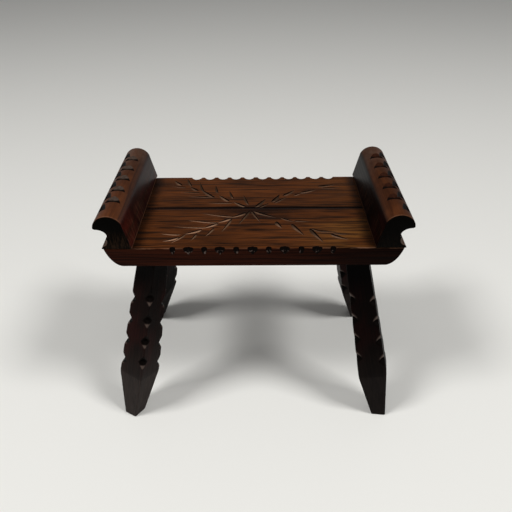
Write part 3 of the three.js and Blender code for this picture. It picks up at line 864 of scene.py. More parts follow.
def rail_finish(colours):
    """Stained pine, its grain along the rail: brown on the crest and burgundy on the inner face."""
    finish = Finish("rail_pine")
    place = finish.parts(finish.place())
    x, y, z = place
    _, facing_y, facing_z = finish.facing()
    on_top = facing_z.ease(0.3, 0.75)
    out = abs(x) - RAIL_INNER_X
    up = z - SEAT_TOP
    pith = (RAIL_INNER_X + RAIL_PITH_OFF, SEAT_TOP - RAIL_PITH_OFF)
    rings, bands, fibres, streaks, height, _ = pine(finish, (y, x, z), pith, RAIL_RING)
    tone = rings * 0.4 + bands.ease(*CLOUD_SPAN) * 0.3 + (streaks - 0.5) * 0.6 + (fibres - 0.5) * 0.6
    tone = tone.ease(0.0, 0.9)
    mottle = finish.grain(place, RAIL_MOTTLE, 3.0)
    crest = finish.mix(tone, colours.crest_light, colours.crest_dark)
    # Painted sheen: the crests are drawn grey in patches towards the rear
    painted_sheen = y.ease(*CREST_SHEEN_ALONG) * mottle.ease(*CLOUD_SPAN, 0.2, 0.75)
    crest = finish.mix(painted_sheen, crest, colours.crest_grey_and_sheen)
    crest = finish.shaded(crest, mottle.ease(*CLOUD_SPAN, 0.82, 1.18) * abs(y).ease(*CREST_ALONG, 0.82, 1.0))
    crest = finish.shaded(crest, x.by_side(0.93, 0.82))
    face = finish.mix(tone, colours.face_red, colours.face_dark)
    red_front = y.ease(*RED_ALONG, 1.7, 0.8) * mottle.ease(*CLOUD_SPAN, 0.6, 1.4)
    face = finish.shaded(face, x.by_side(0.95, 0.12) * red_front)
    base = finish.mix(on_top, face, crest)
    patch = finish.grain(place, RAIL_PATCH, roughness=0.5)
    base = finish.shaded(base, patch.ease(0.3, 0.72, 0.72, 1.3))
    # Pale scratches run down the inner face
    scratch = finish.grain(place, RAIL_SCRATCH).ease(0.56, 0.7)
    low = up.ease(*SCRATCH_UP, 1.0, 0.0) * (1.0 - on_top)
    base = finish.mix(scratch * low * x.by_side(0.4, 0.1), base, colours.worn)
    # The front arris is rubbed bare on the crest
    front_rub = (y - RAIL_FRONT).ease(*END_RUB, 0.4, 0.0) * on_top
    base = finish.mix(front_rub * mottle.ease(0.3, 0.6, 0.5, 1.0), base, colours.worn)
    # The ends are nearly black, with brown streaks low down
    streak = finish.grain(place, END_STREAK, 3.0).ease(0.4, 0.66)
    streak = streak * up.ease(*STREAK_UP, 0.75, 0.0) * x.by_side(1.0, 0.15)
    is_end = abs(facing_y).ease(0.6, 0.9)
    base = finish.mix(is_end, base, finish.mix(streak, colours.end_grain, colours.end_brown))
    # The line where the inner face meets the seat is worn pale
    foot = out.ease(*FOOT_OUT, 1.0, 0.0) * up.ease(*FOOT_UP, 1.0, 0.0)
    base = finish.mix(foot * x.by_side(0.45, 0.2), base, colours.worn)
    roughness = 0.34 + (1.0 - rings) * 0.08 + (patch - 0.5) * 0.14
    varnish = (0.24 - on_top * 0.12) * (1.0 - is_end)
    varnish = varnish * (1.0 - x.by_side(0.0, 1.0) * y.ease(*SHEEN_ALONG, 0.9, 0.3))
    return finish.close(base, roughness, height, GRAIN_RELIEF, varnish=varnish)


# How fine the legs' patterns are across and along the leg
LEG_TINT = (22, 22, 9)
LEG_SCUFF = (90, 90, 30)
LEG_STREAK = (300, 300, 8)
# Heights between which the legs' looks change
TINT_FROM = span(100, 160)
TINT_TO = span(300, 360)
THIN_TO = span(100, 240)
SEAT_SHADE_FROM = span(270, 350)
SHEEN_TO = span(80, 200)
DULL_FROM = span(250, 340)


def leg_finish(colours):
    """Nearly black stained pine; the grain follows the place that each leg's mesh carries."""
    finish = Finish("leg_pine")
    z = finish.parts(finish.place())[2]
    place = finish.parts(finish.carried("grain_place", "Vector"))
    u, v, w = place
    rings, bands, fibres, streaks, height, _ = pine(finish, (w, u, v), LEG_PITH, LEG_RING)
    tone = rings * 0.4 + bands.ease(*CLOUD_SPAN) * 0.3 + (streaks - 0.5) * 0.6 + (fibres - 0.5) * 0.5
    base = finish.mix(tone.ease(0.0, 0.9), colours.leg_brown, colours.leg_black)
    red = finish.grain(place, LEG_TINT, roughness=0.5).ease(0.42, 0.66)
    middle = z.ease(*TINT_FROM) * z.ease(*TINT_TO, 1.0, 0.0)
    base = finish.mix(red * middle * 0.8, base, colours.leg_red)
    scuff = finish.grain(place, LEG_SCUFF, 4.0, 0.7)
    # Lower legs and tapered feet are drawn grey: thinner stain and a painted sheen of the floor
    thin = z.ease(*THIN_TO, 0.45, 0.0).highest(finish.carried("taper") * 0.9)
    base = finish.mix(thin * scuff.ease(0.2, 0.7, 0.75, 1.0), base, colours.leg_grey_and_sheen)
    # Painted shade: the legs are drawn darker towards their tops, in the shade under the seat
    base = finish.shaded(base, z.ease(*SEAT_SHADE_FROM, 1.0, 0.3))
    streak = finish.grain(place, LEG_STREAK)
    base = finish.shaded(base, streak.ease(*CLOUD_SPAN, 0.7, 1.25))
    base = finish.mix(finish.carried("arris") * scuff.ease(0.45, 0.65) * 0.2, base, colours.leg_grey_and_sheen)
    light = finish.carried("light")
    base = finish.shaded(base, light)
    # A notch is drawn dark, stain and painted shade, but for one end, drawn pale as bare wood and a painted
    # highlight
    bare_and_lit = (finish.carried("notch_end") + light.ease(0.35, 1.0, 0.4, 0.0)).ease(0.5, 0.75)
    bare_and_lit = bare_and_lit * scuff.ease(0.3, 0.5, 0.5, 1.0)
    notch = finish.mix(bare_and_lit, colours.soot_and_shade, colours.bare_and_lit_facet)
    base = finish.mix(finish.carried("carved"), base, notch)
    roughness = 0.4 + (1.0 - rings) * 0.08 + (scuff - 0.5) * 0.2
    varnish = z.ease(*SHEEN_TO, 0.1, 0.03) * z.ease(*DULL_FROM, 1.0, 0.3) * light
    return finish.close(base, roughness, height, GRAIN_RELIEF, varnish=varnish)


SCOOP_GRAIN = (220, 220, 220)
SCOOP_BARE_AND_LIT = span(5, 8)
SOOT_AND_SHADE_STRAY = 3 * MM
STROKE_GRAIN = 320
STROKE_PATCH = 17
BRIGHT_ALONG = span(-50, 0)
BRIGHT_ACROSS = span(-40, -10)
BEECH_FLECK = (600, 90, 300)
STEEL_GRAIN = 900


def cut_finish(name, light, dark):
    """Wood laid bare by a blade, stained over and partly painted as highlight: facets with little grain."""
    finish = Finish(name)
    tone = finish.cloud(finish.place(), CUT_GRAIN, 3.0, 0.6).ease(*CLOUD_SPAN)
    base = finish.mix(tone, light, dark)
    return finish.close(base, 0.34 + tone * 0.16, tone, CUT_RELIEF, varnish=0.05)


def stopped_cut_finish(name, bare_and_lit_facet, soot_and_shade, soot_and_shade_run):
    """A gouge cut, darkest at the wall that stops it: gathered stain and painted shade."""
    finish = Finish(name)
    grain = finish.cloud(finish.place(), CUT_GRAIN, 3.0, 0.6)
    along = finish.carried("cut_along") + (grain - 0.5) * SOOT_AND_SHADE_STRAY
    base = finish.mix(along.ease(soot_and_shade_run * 0.7, soot_and_shade_run * 1.3), soot_and_shade, bare_and_lit_facet)
    base = finish.shaded(base, grain.ease(0.25, 0.75, 0.7, 1.25))
    return finish.close(base, 0.4 + grain * 0.2, grain, CUT_RELIEF, varnish=0.08)


def scoop_finish(colours):
    """The edge scoops: dark above, stain and painted shade; pale low down, bare wood and painted highlight.
    """
    finish = Finish("edge_cut")
    place = finish.parts(finish.place())
    grain = finish.grain(place, SCOOP_GRAIN, 3.0)
    bare_and_lit = (SEAT_TOP - place[2]).ease(*SCOOP_BARE_AND_LIT) * grain.ease(0.5, 0.6)
    base = finish.mix(bare_and_lit, colours.soot_and_shade, colours.bare_and_lit_facet)
    return finish.close(base, 0.4 + grain * 0.2, grain, 0.1 * MM, varnish=0.05)


def stroke_finish(colours):
    """Knife strokes in painted light: the side facing the front is dark, stain and painted shade; the other
    pale, bare wood and painted highlight.
    """
    finish = Finish("stroke_cut")
    facing_x, facing_y, _ = finish.facing("True Normal")
    place = finish.place()
    x, y, _ = finish.parts(place)
    grain = finish.cloud(place, STROKE_GRAIN, 3.0, 0.6)
    patch = finish.cloud(place, STROKE_PATCH, 1.0, 0.5)
    # The front left sprig is drawn brightest
    bright = x.ease(*BRIGHT_ALONG, 1.0, 0.0) * y.ease(*BRIGHT_ACROSS, 1.0, 0.0) * 0.75 + 0.55
    # Painted light: each side of a stroke is drawn pale or dark by which way it faces
    tilt = facing_y + facing_x * 0.15
    bare_and_lit = finish.mix(tilt.ease(0.08, 0.2), colours.stroke_half_lit, colours.bare_and_lit_cut)
    base = finish.mix(tilt.ease(-0.02, 0.05), colours.cut_shade, bare_and_lit)
    base = finish.shaded(base, grain.ease(0.25, 0.75, 0.7, 1.2) * patch.ease(*CLOUD_SPAN, 0.7, 1.3) * bright)
    return finish.close(base, 0.5 + grain * 0.2, grain, 0.06 * MM)


def beech_finish(colours):
    """Plain beech with short flecks."""
    finish = Finish("peg_beech")
    fleck = finish.grain(finish.parts(finish.place()), BEECH_FLECK)
    base = finish.shaded(colours.beech, fleck.ease(0.35, 0.75, 1.05, 0.72))
    return finish.close(base, 0.55 + fleck * 0.2, fleck, 0.05 * MM, PLAIN_GLOSS)


def steel_finish(colours):
    """Bright steel, a little dulled."""
    finish = Finish("screw_steel")
    mark = finish.cloud(finish.place(), STEEL_GRAIN, 3.0, 0.6)
    base = finish.shaded(colours.steel, mark.ease(0.3, 0.8, 1.05, 0.7))
    return finish.close(base, 0.3 + mark * 0.3, mark, 0.03 * MM, PLAIN_GLOSS, metal=1.0)


# Seat planks

SEAT_SECTION = 7 * MM
SEAT_RIPPLE = 9.0
SEED_STEP = 3.7
SCOOP_LIFT = 0.3 * MM
OUTLINE_FACETS = 24


def ellipse_points(centre, radii, start, end, facets):
    angles = [start + (end - start) * i / facets for i in range(facets + 1)]
    return [(centre[0] + radii[0] * math.cos(a), centre[1] + radii[1] * math.sin(a)) for a in angles]


def filled_in(outline, spacing):
    """The outline with points added along its long straight stretches."""
    points = []
    for here, there in zip(outline, outline[1:] + outline[:1]):
        steps = max(1, round(math.dist(here, there) / spacing))
        for i in range(steps):
            points.append(tuple(a + (b - a) * i / steps for a, b in zip(here, there)))
    return points


def loop_object(name, outline):
    """An outline as a closed line of edges; the sweep along Y turns its +Y side down."""
    mesh = bpy.data.meshes.new(name)
    number = len(outline)
    edges = [(i, (i + 1) % number) for i in range(number)]
    mesh.from_pydata([(across, -up, 0) for across, up in outline], edges, [])
    return new_object(name, mesh)


def draw_out(name, outline, front, back, spacing, sizes, ripple, seed, material):
    """A bar with the outline for its section, its faces wavering and its arrises softened."""
    loop = loop_object(name + "_outline", filled_in(outline, spacing))
    bar = run_recipe(name, drawn_recipe(), {
        "Outline": loop,
        "Front": front,
        "Back": back,
        "Sections": round((back - front) / spacing) + 1,
        "Waver": -sizes.waver,
        "Ripple": ripple,
        "Seed": seed,
        "Material": material,
    })
    discard(loop)
    face_outwards(bar)
    soften(bar, sizes.arris)
    return bar


def soften(piece, width):
    bevel = piece.modifiers.new("arris", 'BEVEL')
    bevel.width = width
    bevel.segments = 3
    bevel.limit_method = 'ANGLE'
    bevel.angle_limit = BEVEL_ANGLE


def cutter_row(name, row, cutters, number, shift, pitch, axis, stray, seed, material):
    """A row of cutters along an axis, the kinds by turns, each a little off its place."""
    return run_recipe(name, row, {
        "First cutter": cutters[0],
        "Second cutter": cutters[-1],
        "Count": number,
        "Start": tuple(axis * (shift - (number - 1) / 2 * pitch)),
        "Step": tuple(axis * pitch),
        "Stray": stray,
        "Seed": seed,
        "Material": material,
    })


def plank_outline(seat):
    """Each end is rounded under by part of an ellipse whose centre lies above the plank."""
    drop = SEAT_TOP + seat.end_rise - UNDERSIDE
    start = -math.asin(seat.end_rise / drop)
    spread = seat.end_round / math.cos(start)
    end = ellipse_points((HALF_LENGTH - seat.end_round, SEAT_TOP + seat.end_rise), (spread, drop),
                         start, -math.pi / 2, OUTLINE_FACETS)
    other = [(-across, up) for across, up in reversed(end)]
    return end + other


def stroke_cutter():
    """A knife stroke of unit size, its blunt end at the origin, its tip along +X and its keel off to
    the +Y side."""
    stations = 10
    rise = 0.6
    lean = 0.22
    skew = 0.62
    roundness = 0.8
    clear = 0.06
    points = []
    for i in range(stations + 1):
        along = i / stations
        swell = math.sin(math.pi * along ** skew) ** roundness if 0 < i < stations else 0.0
        fullness = (1 + clear) * swell - clear
        depth = fullness + rise
        points += [(along, -depth * (0.5 + lean), rise), (along, depth * (0.5 - lean), rise),
                   (along, 0, -fullness)]
    faces = [(0, 1, 2)]
    for i in range(stations):
        a = 3 * i
        faces += [(a, a + 3, a + 4, a + 1), (a + 1, a + 4, a + 5, a + 2), (a + 2, a + 5, a + 3, a)]
    last = 3 * stations
    faces.append((last, last + 2, last + 1))
    cutter = mesh_object("stroke_cutter", points, faces)
    face_outwards(cutter)
    return cutter


# The carved sprigs: knife strokes in four arms and about the heart, each from its deep end to its tip,
# in millimetres from the middle of the gap
SPRIG_STEMS = (
    ((-19, -20), (-40, -35)), ((-48, -41), (-67, -55)), ((-73, -60), (-95, -76)), ((-103, -84), (-126, -97)),
    ((-143, -111), (-164, -122)), ((-19, 7), (-38, 22)), ((-54, 31), (-71, 51)), ((-87, 48), (-110, 76)),
    ((-123, 79), (-137, 92)), ((-161, 105), (-175, 121)), ((3, 6), (19, 31)), ((37, 27), (50, 51)),
    ((62, 54), (81, 72)), ((99, 67), (125, 76)), ((141, 96), (167, 100)), ((3, -15), (34, -34)),
    ((45, -57), (52, -75)), ((76, -68), (91, -98)), ((110, -86), (125, -121)), ((148, -104), (170, -118)),
)
SPRIG_LEAVES = (
    ((-46, -35), (-91, -25)), ((-73, -58), (-119, -51)), ((-95, -76), (-143, -73)),
    ((-142, -101), (-170, -99)),
    ((-46, -47), (-59, -84)), ((-79, -80), (-89, -103)), ((-110, -99), (-116, -118)),
    ((-132, -103), (-149, -125)), ((-13, 17), (-21, 47)), ((-45, 43), (-52, 68)), ((-79, 68), (-84, 94)),
    ((-110, 74), (-119, 107)), ((-139, 100), (-149, 129)), ((-49, 22), (-85, 22)), ((-88, 48), (-129, 52)),
    ((-119, 69), (-149, 71)), ((-152, 95), (-174, 98)), ((11, 3), (27, 17)), ((43, 23), (63, 42)),
    ((84, 54), (97, 61)), ((151, 87), (180, 89)), ((55, -42), (75, -54)), ((81, -52), (103, -54)),
    ((112, -83), (133, -95)), ((121, -90), (151, -94)), ((152, -99), (172, -102)), ((-11, -15), (-27, -56)),
    ((-4, -15), (9, -48)),
)


def stroke_points(seat):
    """Points for the strokes, each with its turn, reach, breadth and depth.

    A stroke that runs to the left is mirrored, so that every steep side lies to the rear."""
    carried = {"turn": [], "reach": [], "breadth": [], "depth": []}
    places = []
    heart = Vector((0, GAP_MIDDLE, SEAT_TOP))
    for strokes, breadth in ((SPRIG_STEMS, seat.stem_width), (SPRIG_LEAVES, seat.stroke_width)):
        for start, end in strokes:
            start = Vector((*start, 0)) * MM
            run = Vector((*end, 0)) * MM - start
            places.append(heart + start - run * seat.stroke_lead)
            carried["turn"].append(math.atan2(run.y, run.x))
            carried["reach"].append(run.length * seat.stroke_reach)
            carried["breadth"].append(math.copysign(breadth, run.x))
            carried["depth"].append(breadth * seat.stroke_depth)
    points = mesh_object("stroke_points", places, [])
    for key, values in carried.items():
        carry(points.data, key, values)
    return points


FRONT_PITH = (-80 * MM, SEAT_TOP - 95 * MM)
REAR_PITH = (54 * MM, SEAT_TOP + 70 * MM)
# Dark streaks in the planks, in millimetres but for the last: start, end, distance from the gap, half
# width and strength
FRONT_VEINS = ((-178, -75, -77, 3.2, 0.75), (-76, 90, -66, 4.5, 0.55), (-60, 60, -38, 9, 0.4),
               (60, 190, -58, 3, 0.4))
REAR_VEINS = ((-190, -60, 40, 3, 0.45), (20, 140, 97, 3, 0.5), (-150, 10, 80, 2.6, 0.4))
# The knot by the middle, in millimetres: place, half its length and width, and how far it lifts the rings
FRONT_KNOTS = ((4, -85, 34, 7, 7.5),)
# The three strokes of a wide scoop: place, reach inwards and reach down, as shares of the scoop's own
LOBES = ((-0.5, 0.9, 0.72), (0.0, 1.1, 1.05), (0.5, 0.8, 0.72))
LOBE_SHARE = 0.55


def edge_scoop(name, edge, side, back, drop, across, radius):
    """A gouge stroke over a top arris: in from the edge on the top face, lower on the edge face."""
    on_top = Vector((across, edge - side * back, SEAT_TOP))
    on_edge = Vector((across, edge, SEAT_TOP - drop))
    return gouge(name, on_edge, on_top, Vector((0, side, 1)).normalized(), radius, facets=32)


def front_scoops(seat):
    """A narrow scoop, and a wide one of three strokes side by side."""
    narrow = edge_scoop("narrow_scoop", SEAT_FRONT, -1, seat.scoop_back, seat.scoop_drop, 0.0,
                        seat.scoop_narrow)
    wide = joined("wide_scoop", *(
        edge_scoop("lobe", SEAT_FRONT, -1, seat.scoop_back * back, seat.scoop_drop * drop,
                   across * seat.scoop_wide, LOBE_SHARE * seat.scoop_wide)
        for across, back, drop in LOBES))
    return narrow, wide


def rear_scoops(seat):
    return (edge_scoop("rear_scoop", SEAT_BACK, 1, seat.rear_back, seat.scoop_drop, 0.0, seat.rear_scoop),)


def screw_bores(name, seat, belongs):
    """The holes of the screws that belong to a piece: bore, cone for the head and shaft."""
    bores = []
    shaft = seat.screw_radius + FIT_CLEARANCE
    for low, high, middle in places_of("rail_screw"):
        if belongs(middle):
            rings = [(seat.screw_bore, UNDERSIDE - OVERRUN), (seat.screw_bore, low.z),
                     (seat.screw_head + FIT_CLEARANCE, low.z), (shaft, low.z + seat.screw_cone),
                     (shaft, high.z + JOINT_GAP)]
            bores.append(upright_bar("bore", middle, rings))
    return joined(name, *bores)


def hidden_holes(name, seat, leg, front, back):
    """The mortises, dowel holes and screw holes of the plank between two places along Y."""
    holes = [screw_bores("bores", seat, lambda middle: front < middle.y < back)]
    for _, x, y, *_ in leg_places(leg):
        if front < y < back:
            top = Vector((x, y, UNDERSIDE))
            axis = leg_axis(leg, x, y)
            end = top + axis * (tenon_length(leg) + JOINT_GAP)
            holes.append(rod("mortise", top - axis * OVERRUN, end, leg.tenon_radius + FIT_CLEARANCE))
    for low, high, middle in places_of("seat_dowel"):
        reach = Y * ((high.y - low.y) / 2 + JOINT_GAP)
        holes.append(rod("socket", middle - reach, middle + reach, seat.dowel_radius + FIT_CLEARANCE))
    return joined(name, *holes)


def rebate_blocks(name, front, back):
    """What the rails' feet take out of the top of the plank between two places along Y."""
    blocks = []
    for hand in (-1, 1):
        inner = hand * (RAIL_INNER_X - JOINT_GAP)
        outer = hand * (HALF_LENGTH + OVERRUN)
        blocks.append(slab(name, (min(inner, outer), front - OVERRUN, SEAT_TOP - REBATE),
                           (max(inner, outer), back + OVERRUN, SEAT_TOP + OVERRUN)))
    return blocks


def build_seat(seat, leg, colours, row):
    cut_edge = scoop_finish(colours)
    points = stroke_points(seat)
    knife = stroke_cutter()
    values = {"Points": points, "Cutter": knife, "Material": stroke_finish(colours)}
    strokes = run_recipe("sprig_strokes", stroke_recipe(), values)
    planks = (
        ("seat_plank_front", SEAT_FRONT, GAP_FRONT, front_scoops, seat.front_shift, FRONT_PITH,
         FRONT_KNOTS, FRONT_VEINS),
        ("seat_plank_rear", GAP_BACK, SEAT_BACK, rear_scoops, seat.rear_shift, REAR_PITH, (), REAR_VEINS),
    )
    for seed, (name, front, back, scoops_of, shift, pith, knots, veins) in enumerate(planks, 1):
        wood = seat_finish(colours, name.replace("plank", "pine"), pith, knots, veins)
        plank = draw_out(name, plank_outline(seat), front, back, SEAT_SECTION, seat, SEAT_RIPPLE,
                         seed * SEED_STEP, wood)
        scoops = scoops_of(seat)
        scoop_row = cutter_row(name + "_scoops", row, scoops, seat.scoop_count, shift, seat.scoop_pitch, X,
                               (seat.scoop_stray, 0.0, SCOOP_LIFT), seed, cut_edge)
        blocks = [*rebate_blocks(name + "_rebate", front, back),
                  hidden_holes(name + "_holes", seat, leg, front, back)]
        for cutter in (scoop_row, strokes, *blocks):
            carve(plank, cutter)
        settle(plank)
        discard(scoop_row, *scoops, *blocks)
        hand_over(plank, name)
    discard(points, knife, strokes)


# Rails

RAIL_SECTION = 6 * MM
RAIL_RIPPLE = 11.0
RAIL_SEED = 5.0
SCROLL_FACETS = 44
COVE_FACETS = 18
CREST_SOOT_AND_SHADE = 9.5 * MM
LIP_SOOT_AND_SHADE = 40 * MM


def rail_outline(rail):
    lip = rail.reach + rail.half_width - rail.lip_round
    top = rail.rise - rail.lip_edge
    foot = JOINT_GAP - REBATE
    scroll = ellipse_points((rail.reach, rail.rise), (rail.half_width, rail.height), rail.start, 0,
                            SCROLL_FACETS)
    cove = ellipse_points((lip, rail.cove_foot), (rail.cove_depth, top - rail.cove_foot),
                          math.pi / 2, math.pi, COVE_FACETS)
    return [(0, foot), *scroll, *cove, (RAIL_FOOT, foot)]


def on_scroll(rail, hand, turn):
    """A point of the scroll's surface and the way that the surface faces there."""
    place = Vector((hand * (RAIL_INNER_X + rail.reach + rail.half_width * math.cos(turn)), 0,
                    SEAT_TOP + rail.rise + rail.height * math.sin(turn)))
    facing = Vector((hand * math.cos(turn) / rail.half_width, 0, math.sin(turn) / rail.height))
    return place, facing.normalized()


def chip_gouges(name, rail, hand, material):
    """The gouges for the chips at the two corners of a rail's outer face, below the cove."""
    inner = Vector((rail.reach + rail.half_width - rail.lip_round - rail.cove_depth, 0, rail.cove_foot))
    outer = Vector((RAIL_FOOT, 0, 0))
    normal = -Y.cross((outer - inner).normalized())
    base = Vector((hand * RAIL_INNER_X, 0, SEAT_TOP))
    mirror = Matrix.Diagonal((hand, 1, 1))
    gouges = []
    for end, end_y in ((-1, RAIL_FRONT), (1, RAIL_BACK)):
        corner = (inner + outer) / 2 + Y * end_y
        on_end = base + mirror @ (corner - normal * rail.chip_side)
        on_face = base + mirror @ (corner - Y * end * rail.chip_side)
        cutter = gouge(name, on_end, on_face, mirror @ (normal + Y * end), rail.chip_radius)
        cutter.data.materials.append(material)
        gouges.append(cutter)
    return gouges


def build_rails(rail, seat, colours, row):
    wood = rail_finish(colours)
    lip_cut = stopped_cut_finish("lip_cut", colours.crest_dark, colours.soot_and_shade, LIP_SOOT_AND_SHADE)
    chip = cut_finish("rail_chip", colours.bare_and_lit_facet, colours.crest_grey_and_sheen)
    for hand, name, flat, crest_shift, lip_shift in (
            (-1, "rail_left", colours.cut_flat, rail.crest_left, rail.lip_left),
            (1, "rail_right", colours.crest_dark, rail.crest_right, rail.lip_right)):
        crest_cut = stopped_cut_finish(name + "_crest_cut", flat, colours.soot_and_shade, CREST_SOOT_AND_SHADE)
        outline = [(hand * (RAIL_INNER_X + across), SEAT_TOP + up) for across, up in rail_outline(rail)]
        piece = draw_out(name, outline[::hand], RAIL_FRONT, RAIL_BACK, RAIL_SECTION, rail, RAIL_RIPPLE,
                         RAIL_SEED + hand, wood)
        rows = []
        gouges = []
        for number, turn, shift, run, depth, radius, cut in (
                (rail.crest_count, rail.crest_angle, crest_shift, rail.crest_run, rail.crest_depth,
                 rail.crest_radius, crest_cut),
                (rail.lip_count, rail.lip_angle, lip_shift, rail.lip_run, rail.lip_depth,
                 rail.lip_radius, lip_cut)):
            surface, facing = on_scroll(rail, hand, turn)
            cutter = gouge(f"{name}_gouge_{number}", surface - facing * depth, surface + Y * run, facing,
                           radius, foot=surface - Y * rail.cut_stop)
            gouges.append(cutter)
            rows.append(cutter_row(f"{name}_cuts_{number}", row, (cutter,), number, shift, rail.cut_pitch, Y,
                                   (0, rail.cut_stray, 0), number + hand, cut))
        used = [*rows, *chip_gouges(name + "_chip", rail, hand, chip),
                screw_bores(name + "_bores", seat, lambda middle: middle.x * hand > 0)]
        for cutter in used:
            carve(piece, cutter)
        settle(piece)
        discard(*used, *gouges)
        hand_over(piece, name)


# Legs

LEG_FACETS = 144
# Heights of the lowest rings in millimetres, close together at the foot's edge; even above them
FOOT_RINGS = (0.0, 0.15, 0.4, 0.8, 1.3, 1.9, 2.6, 3.4)
EVEN_FROM = 4.4
EVEN_RINGS = 340
SEARCH_STEPS = 22
SEARCH_LOW = 1 * MM
SEARCH_HIGH = 60 * MM
LEG_RIPPLE = 45
RIPPLE_FADE = 20 * MM
TENON_CHAMFER = 1.5 * MM
SHOULDER_BLEND = 1.2 * MM
NOTCH_BLEND = 0.8 * MM
FOOT_BLEND = 3 * MM
SOOT_AND_SHADE_REACH = 2.4 * MM
SOOT_AND_SHADE_BLEND = 1.4 * MM
ARRIS_REACH = 4 * MM
# How much the tapered faces are off true: across the leg, and for each unit along the face
SHAVE = 0.12 * MM
SKEW = 0.035


def softer_max(first, second, blend):
    """The larger of two distances, with the edge between them rounded."""
    overlap = np.maximum(blend - np.abs(first - second), 0) / blend
    return np.maximum(first, second) + overlap * overlap * blend / 4


class LegForm:
    """Distances to the surface of a notched leg, in its own frame with +Z up its axis."""

    def __init__(self, leg, turn, axis, pitch, rises):
        self.leg = leg
        self.pitch = pitch
        self.rises = rises
        self.along_per_height = 1 / axis.z
        self.axis_length = UNDERSIDE * self.along_per_height
        self.shoulder = self.axis_length - leg.taper
        self.lean = Z.rotation_difference(axis).to_matrix()
        self.turned = self.lean @ Matrix.Rotation(turn, 3, 'Z')

    def half_side(self, depth):
        leg = self.leg
        return (leg.top_side + (leg.shoulder_side - leg.top_side) * depth / self.shoulder) / 2

    def half_taper(self, depth):
        leg = self.leg
        run = (depth - self.shoulder) / leg.taper
        return (leg.shoulder_side + (leg.foot_side - leg.shoulder_side) * run) / 2

    def half_diagonal(self, depth):
        half = self.half_side(depth) if depth < self.shoulder else self.half_taper(depth)
        return half * math.sqrt(2)

    def shaft(self, x, y, z):
        leg = self.leg
        depth = -z
        shape = None
        for face in range(4):
            azimuth = math.radians(45 + 90 * face)
            out = x * math.cos(azimuth) + y * math.sin(azimuth)
            along = -x * math.sin(azimuth) + y * math.cos(azimuth)
            shave = ((face * 37) % 10 - 4.5) * SHAVE
            straight = out - self.half_side(depth)
            tapered = out - self.half_taper(depth) - shave + along * SKEW * (face % 3 - 1)
            side = softer_max(straight, tapered, SHOULDER_BLEND)
            shape = side if shape is None else softer_max(shape, side, leg.arris)
        return shape

    def notches(self, x, y, z):
        """Distance into the nearest notch, above zero inside it, and the place along it.

        That place is -1 at the notch's upper end, 0 in its valley and 1 at its lower end."""
        leg = self.leg
        deepest = np.full(x.shape, -1.0)
        place = np.zeros(x.shape)
        for corner in range(4):
            azimuth = math.pi / 2 * corner
            out = x * math.cos(azimuth) + y * math.sin(azimuth)
            side = -x * math.sin(azimuth) + y * math.cos(azimuth)
            for k in range(leg.notch_count):
                depth = self.shoulder - leg.notch_start - (k + self.rises[corner]) * self.pitch
                valley = Vector((self.half_diagonal(depth) - leg.notch_depth, -depth))
                lip = Vector((self.half_diagonal(depth - leg.notch_half), leg.notch_half - depth))
                foot = Vector((self.half_diagonal(depth + leg.notch_half), -leg.notch_half - depth))
                run = (lip - valley).normalized()
                lift = Vector((run.y, -run.x))
                wall = (foot - valley).normalized()
                normal = (run - run.dot(wall) * wall).normalized()
                from_out = out - valley.x
                from_up = z - valley.y
                off_axis = from_out * lift.x + from_up * lift.y - leg.notch_radius
                gouged = leg.notch_radius - np.hypot(off_axis, side)
                above = from_out * normal.x + from_up * normal.y
                inside = -softer_max(-gouged, -above, NOTCH_BLEND)
                place = np.where(inside > deepest, -from_up / leg.notch_half, place)
                deepest = np.maximum(deepest, inside)
        return deepest, place

    def solid(self, x, y, z, height):
        body = softer_max(self.shaft(x, y, z), self.notches(x, y, z)[0], self.leg.notch_wear)
        return softer_max(body, -height, FOOT_BLEND)


def leg_places(leg):
    """Each leg's name, top and turn, its notches' pitch, each corner's rise in pitches, which end of the
    notches is drawn pale, bare wood and a painted highlight, and a factor on the leg's colour and varnish."""
    front = SEAT_FRONT + leg.front_inset
    rear = SEAT_BACK - leg.rear_inset
    out = HALF_LENGTH - leg.end_inset
    right_out = HALF_LENGTH - leg.right_inset
    return (
        ("front_left", -out, front, 13, leg.notch_pitch, (0, 0.5, 0.14, 0.45), 1, 1.0),
        ("front_right", right_out, front, 36, leg.right_pitch, (0.2, 0.5, 0.6, 0.37), -1, 0.35),
        ("rear_left", -out, rear, 107, leg.notch_pitch, (0, 0, 0, 0), 1, 0.4),
        ("rear_right", out, rear, 51, leg.notch_pitch, (0, 0, 0, 0), -1, 0.7),
    )


def leg_axis(leg, top_x, top_y):
    out = math.copysign(math.tan(leg.splay_out), top_x)
    fore = math.copysign(math.tan(leg.splay_fore), top_y)
    return Vector((-out, -fore, 1)).normalized()


def tenon_length(leg):
    lean = math.hypot(math.tan(leg.splay_out), math.tan(leg.splay_fore))
    reach_up = SEAT_TOP - UNDERSIDE - leg.mortise_cover
    return reach_up * math.hypot(lean, 1) - leg.tenon_radius * lean


def leg_masks(form, local, bare_and_lit_end, light):
    """What the legs' material reads at each point of the mesh."""
    x, y, z = local.T
    half = np.where(-z < form.shoulder, form.half_side(-z), form.half_taper(-z))
    inside, notch_place = form.notches(x, y, z)
    # The notches' dark, stain and painted shade, reaches a little past their edges
    carved = np.clip((inside + SOOT_AND_SHADE_REACH) / SOOT_AND_SHADE_BLEND, 0, 1)
    arris = np.clip(1 - (half * math.sqrt(2) - np.maximum(np.abs(x), np.abs(y))) / ARRIS_REACH, 0, 1)
    return {
        "carved": carved,
        "arris": arris * (1 - carved),
        "taper": np.clip((-z - form.shoulder) / FOOT_BLEND, 0, 1),
        "notch_end": notch_place * bare_and_lit_end,
        "light": np.full(x.shape, light),
    }


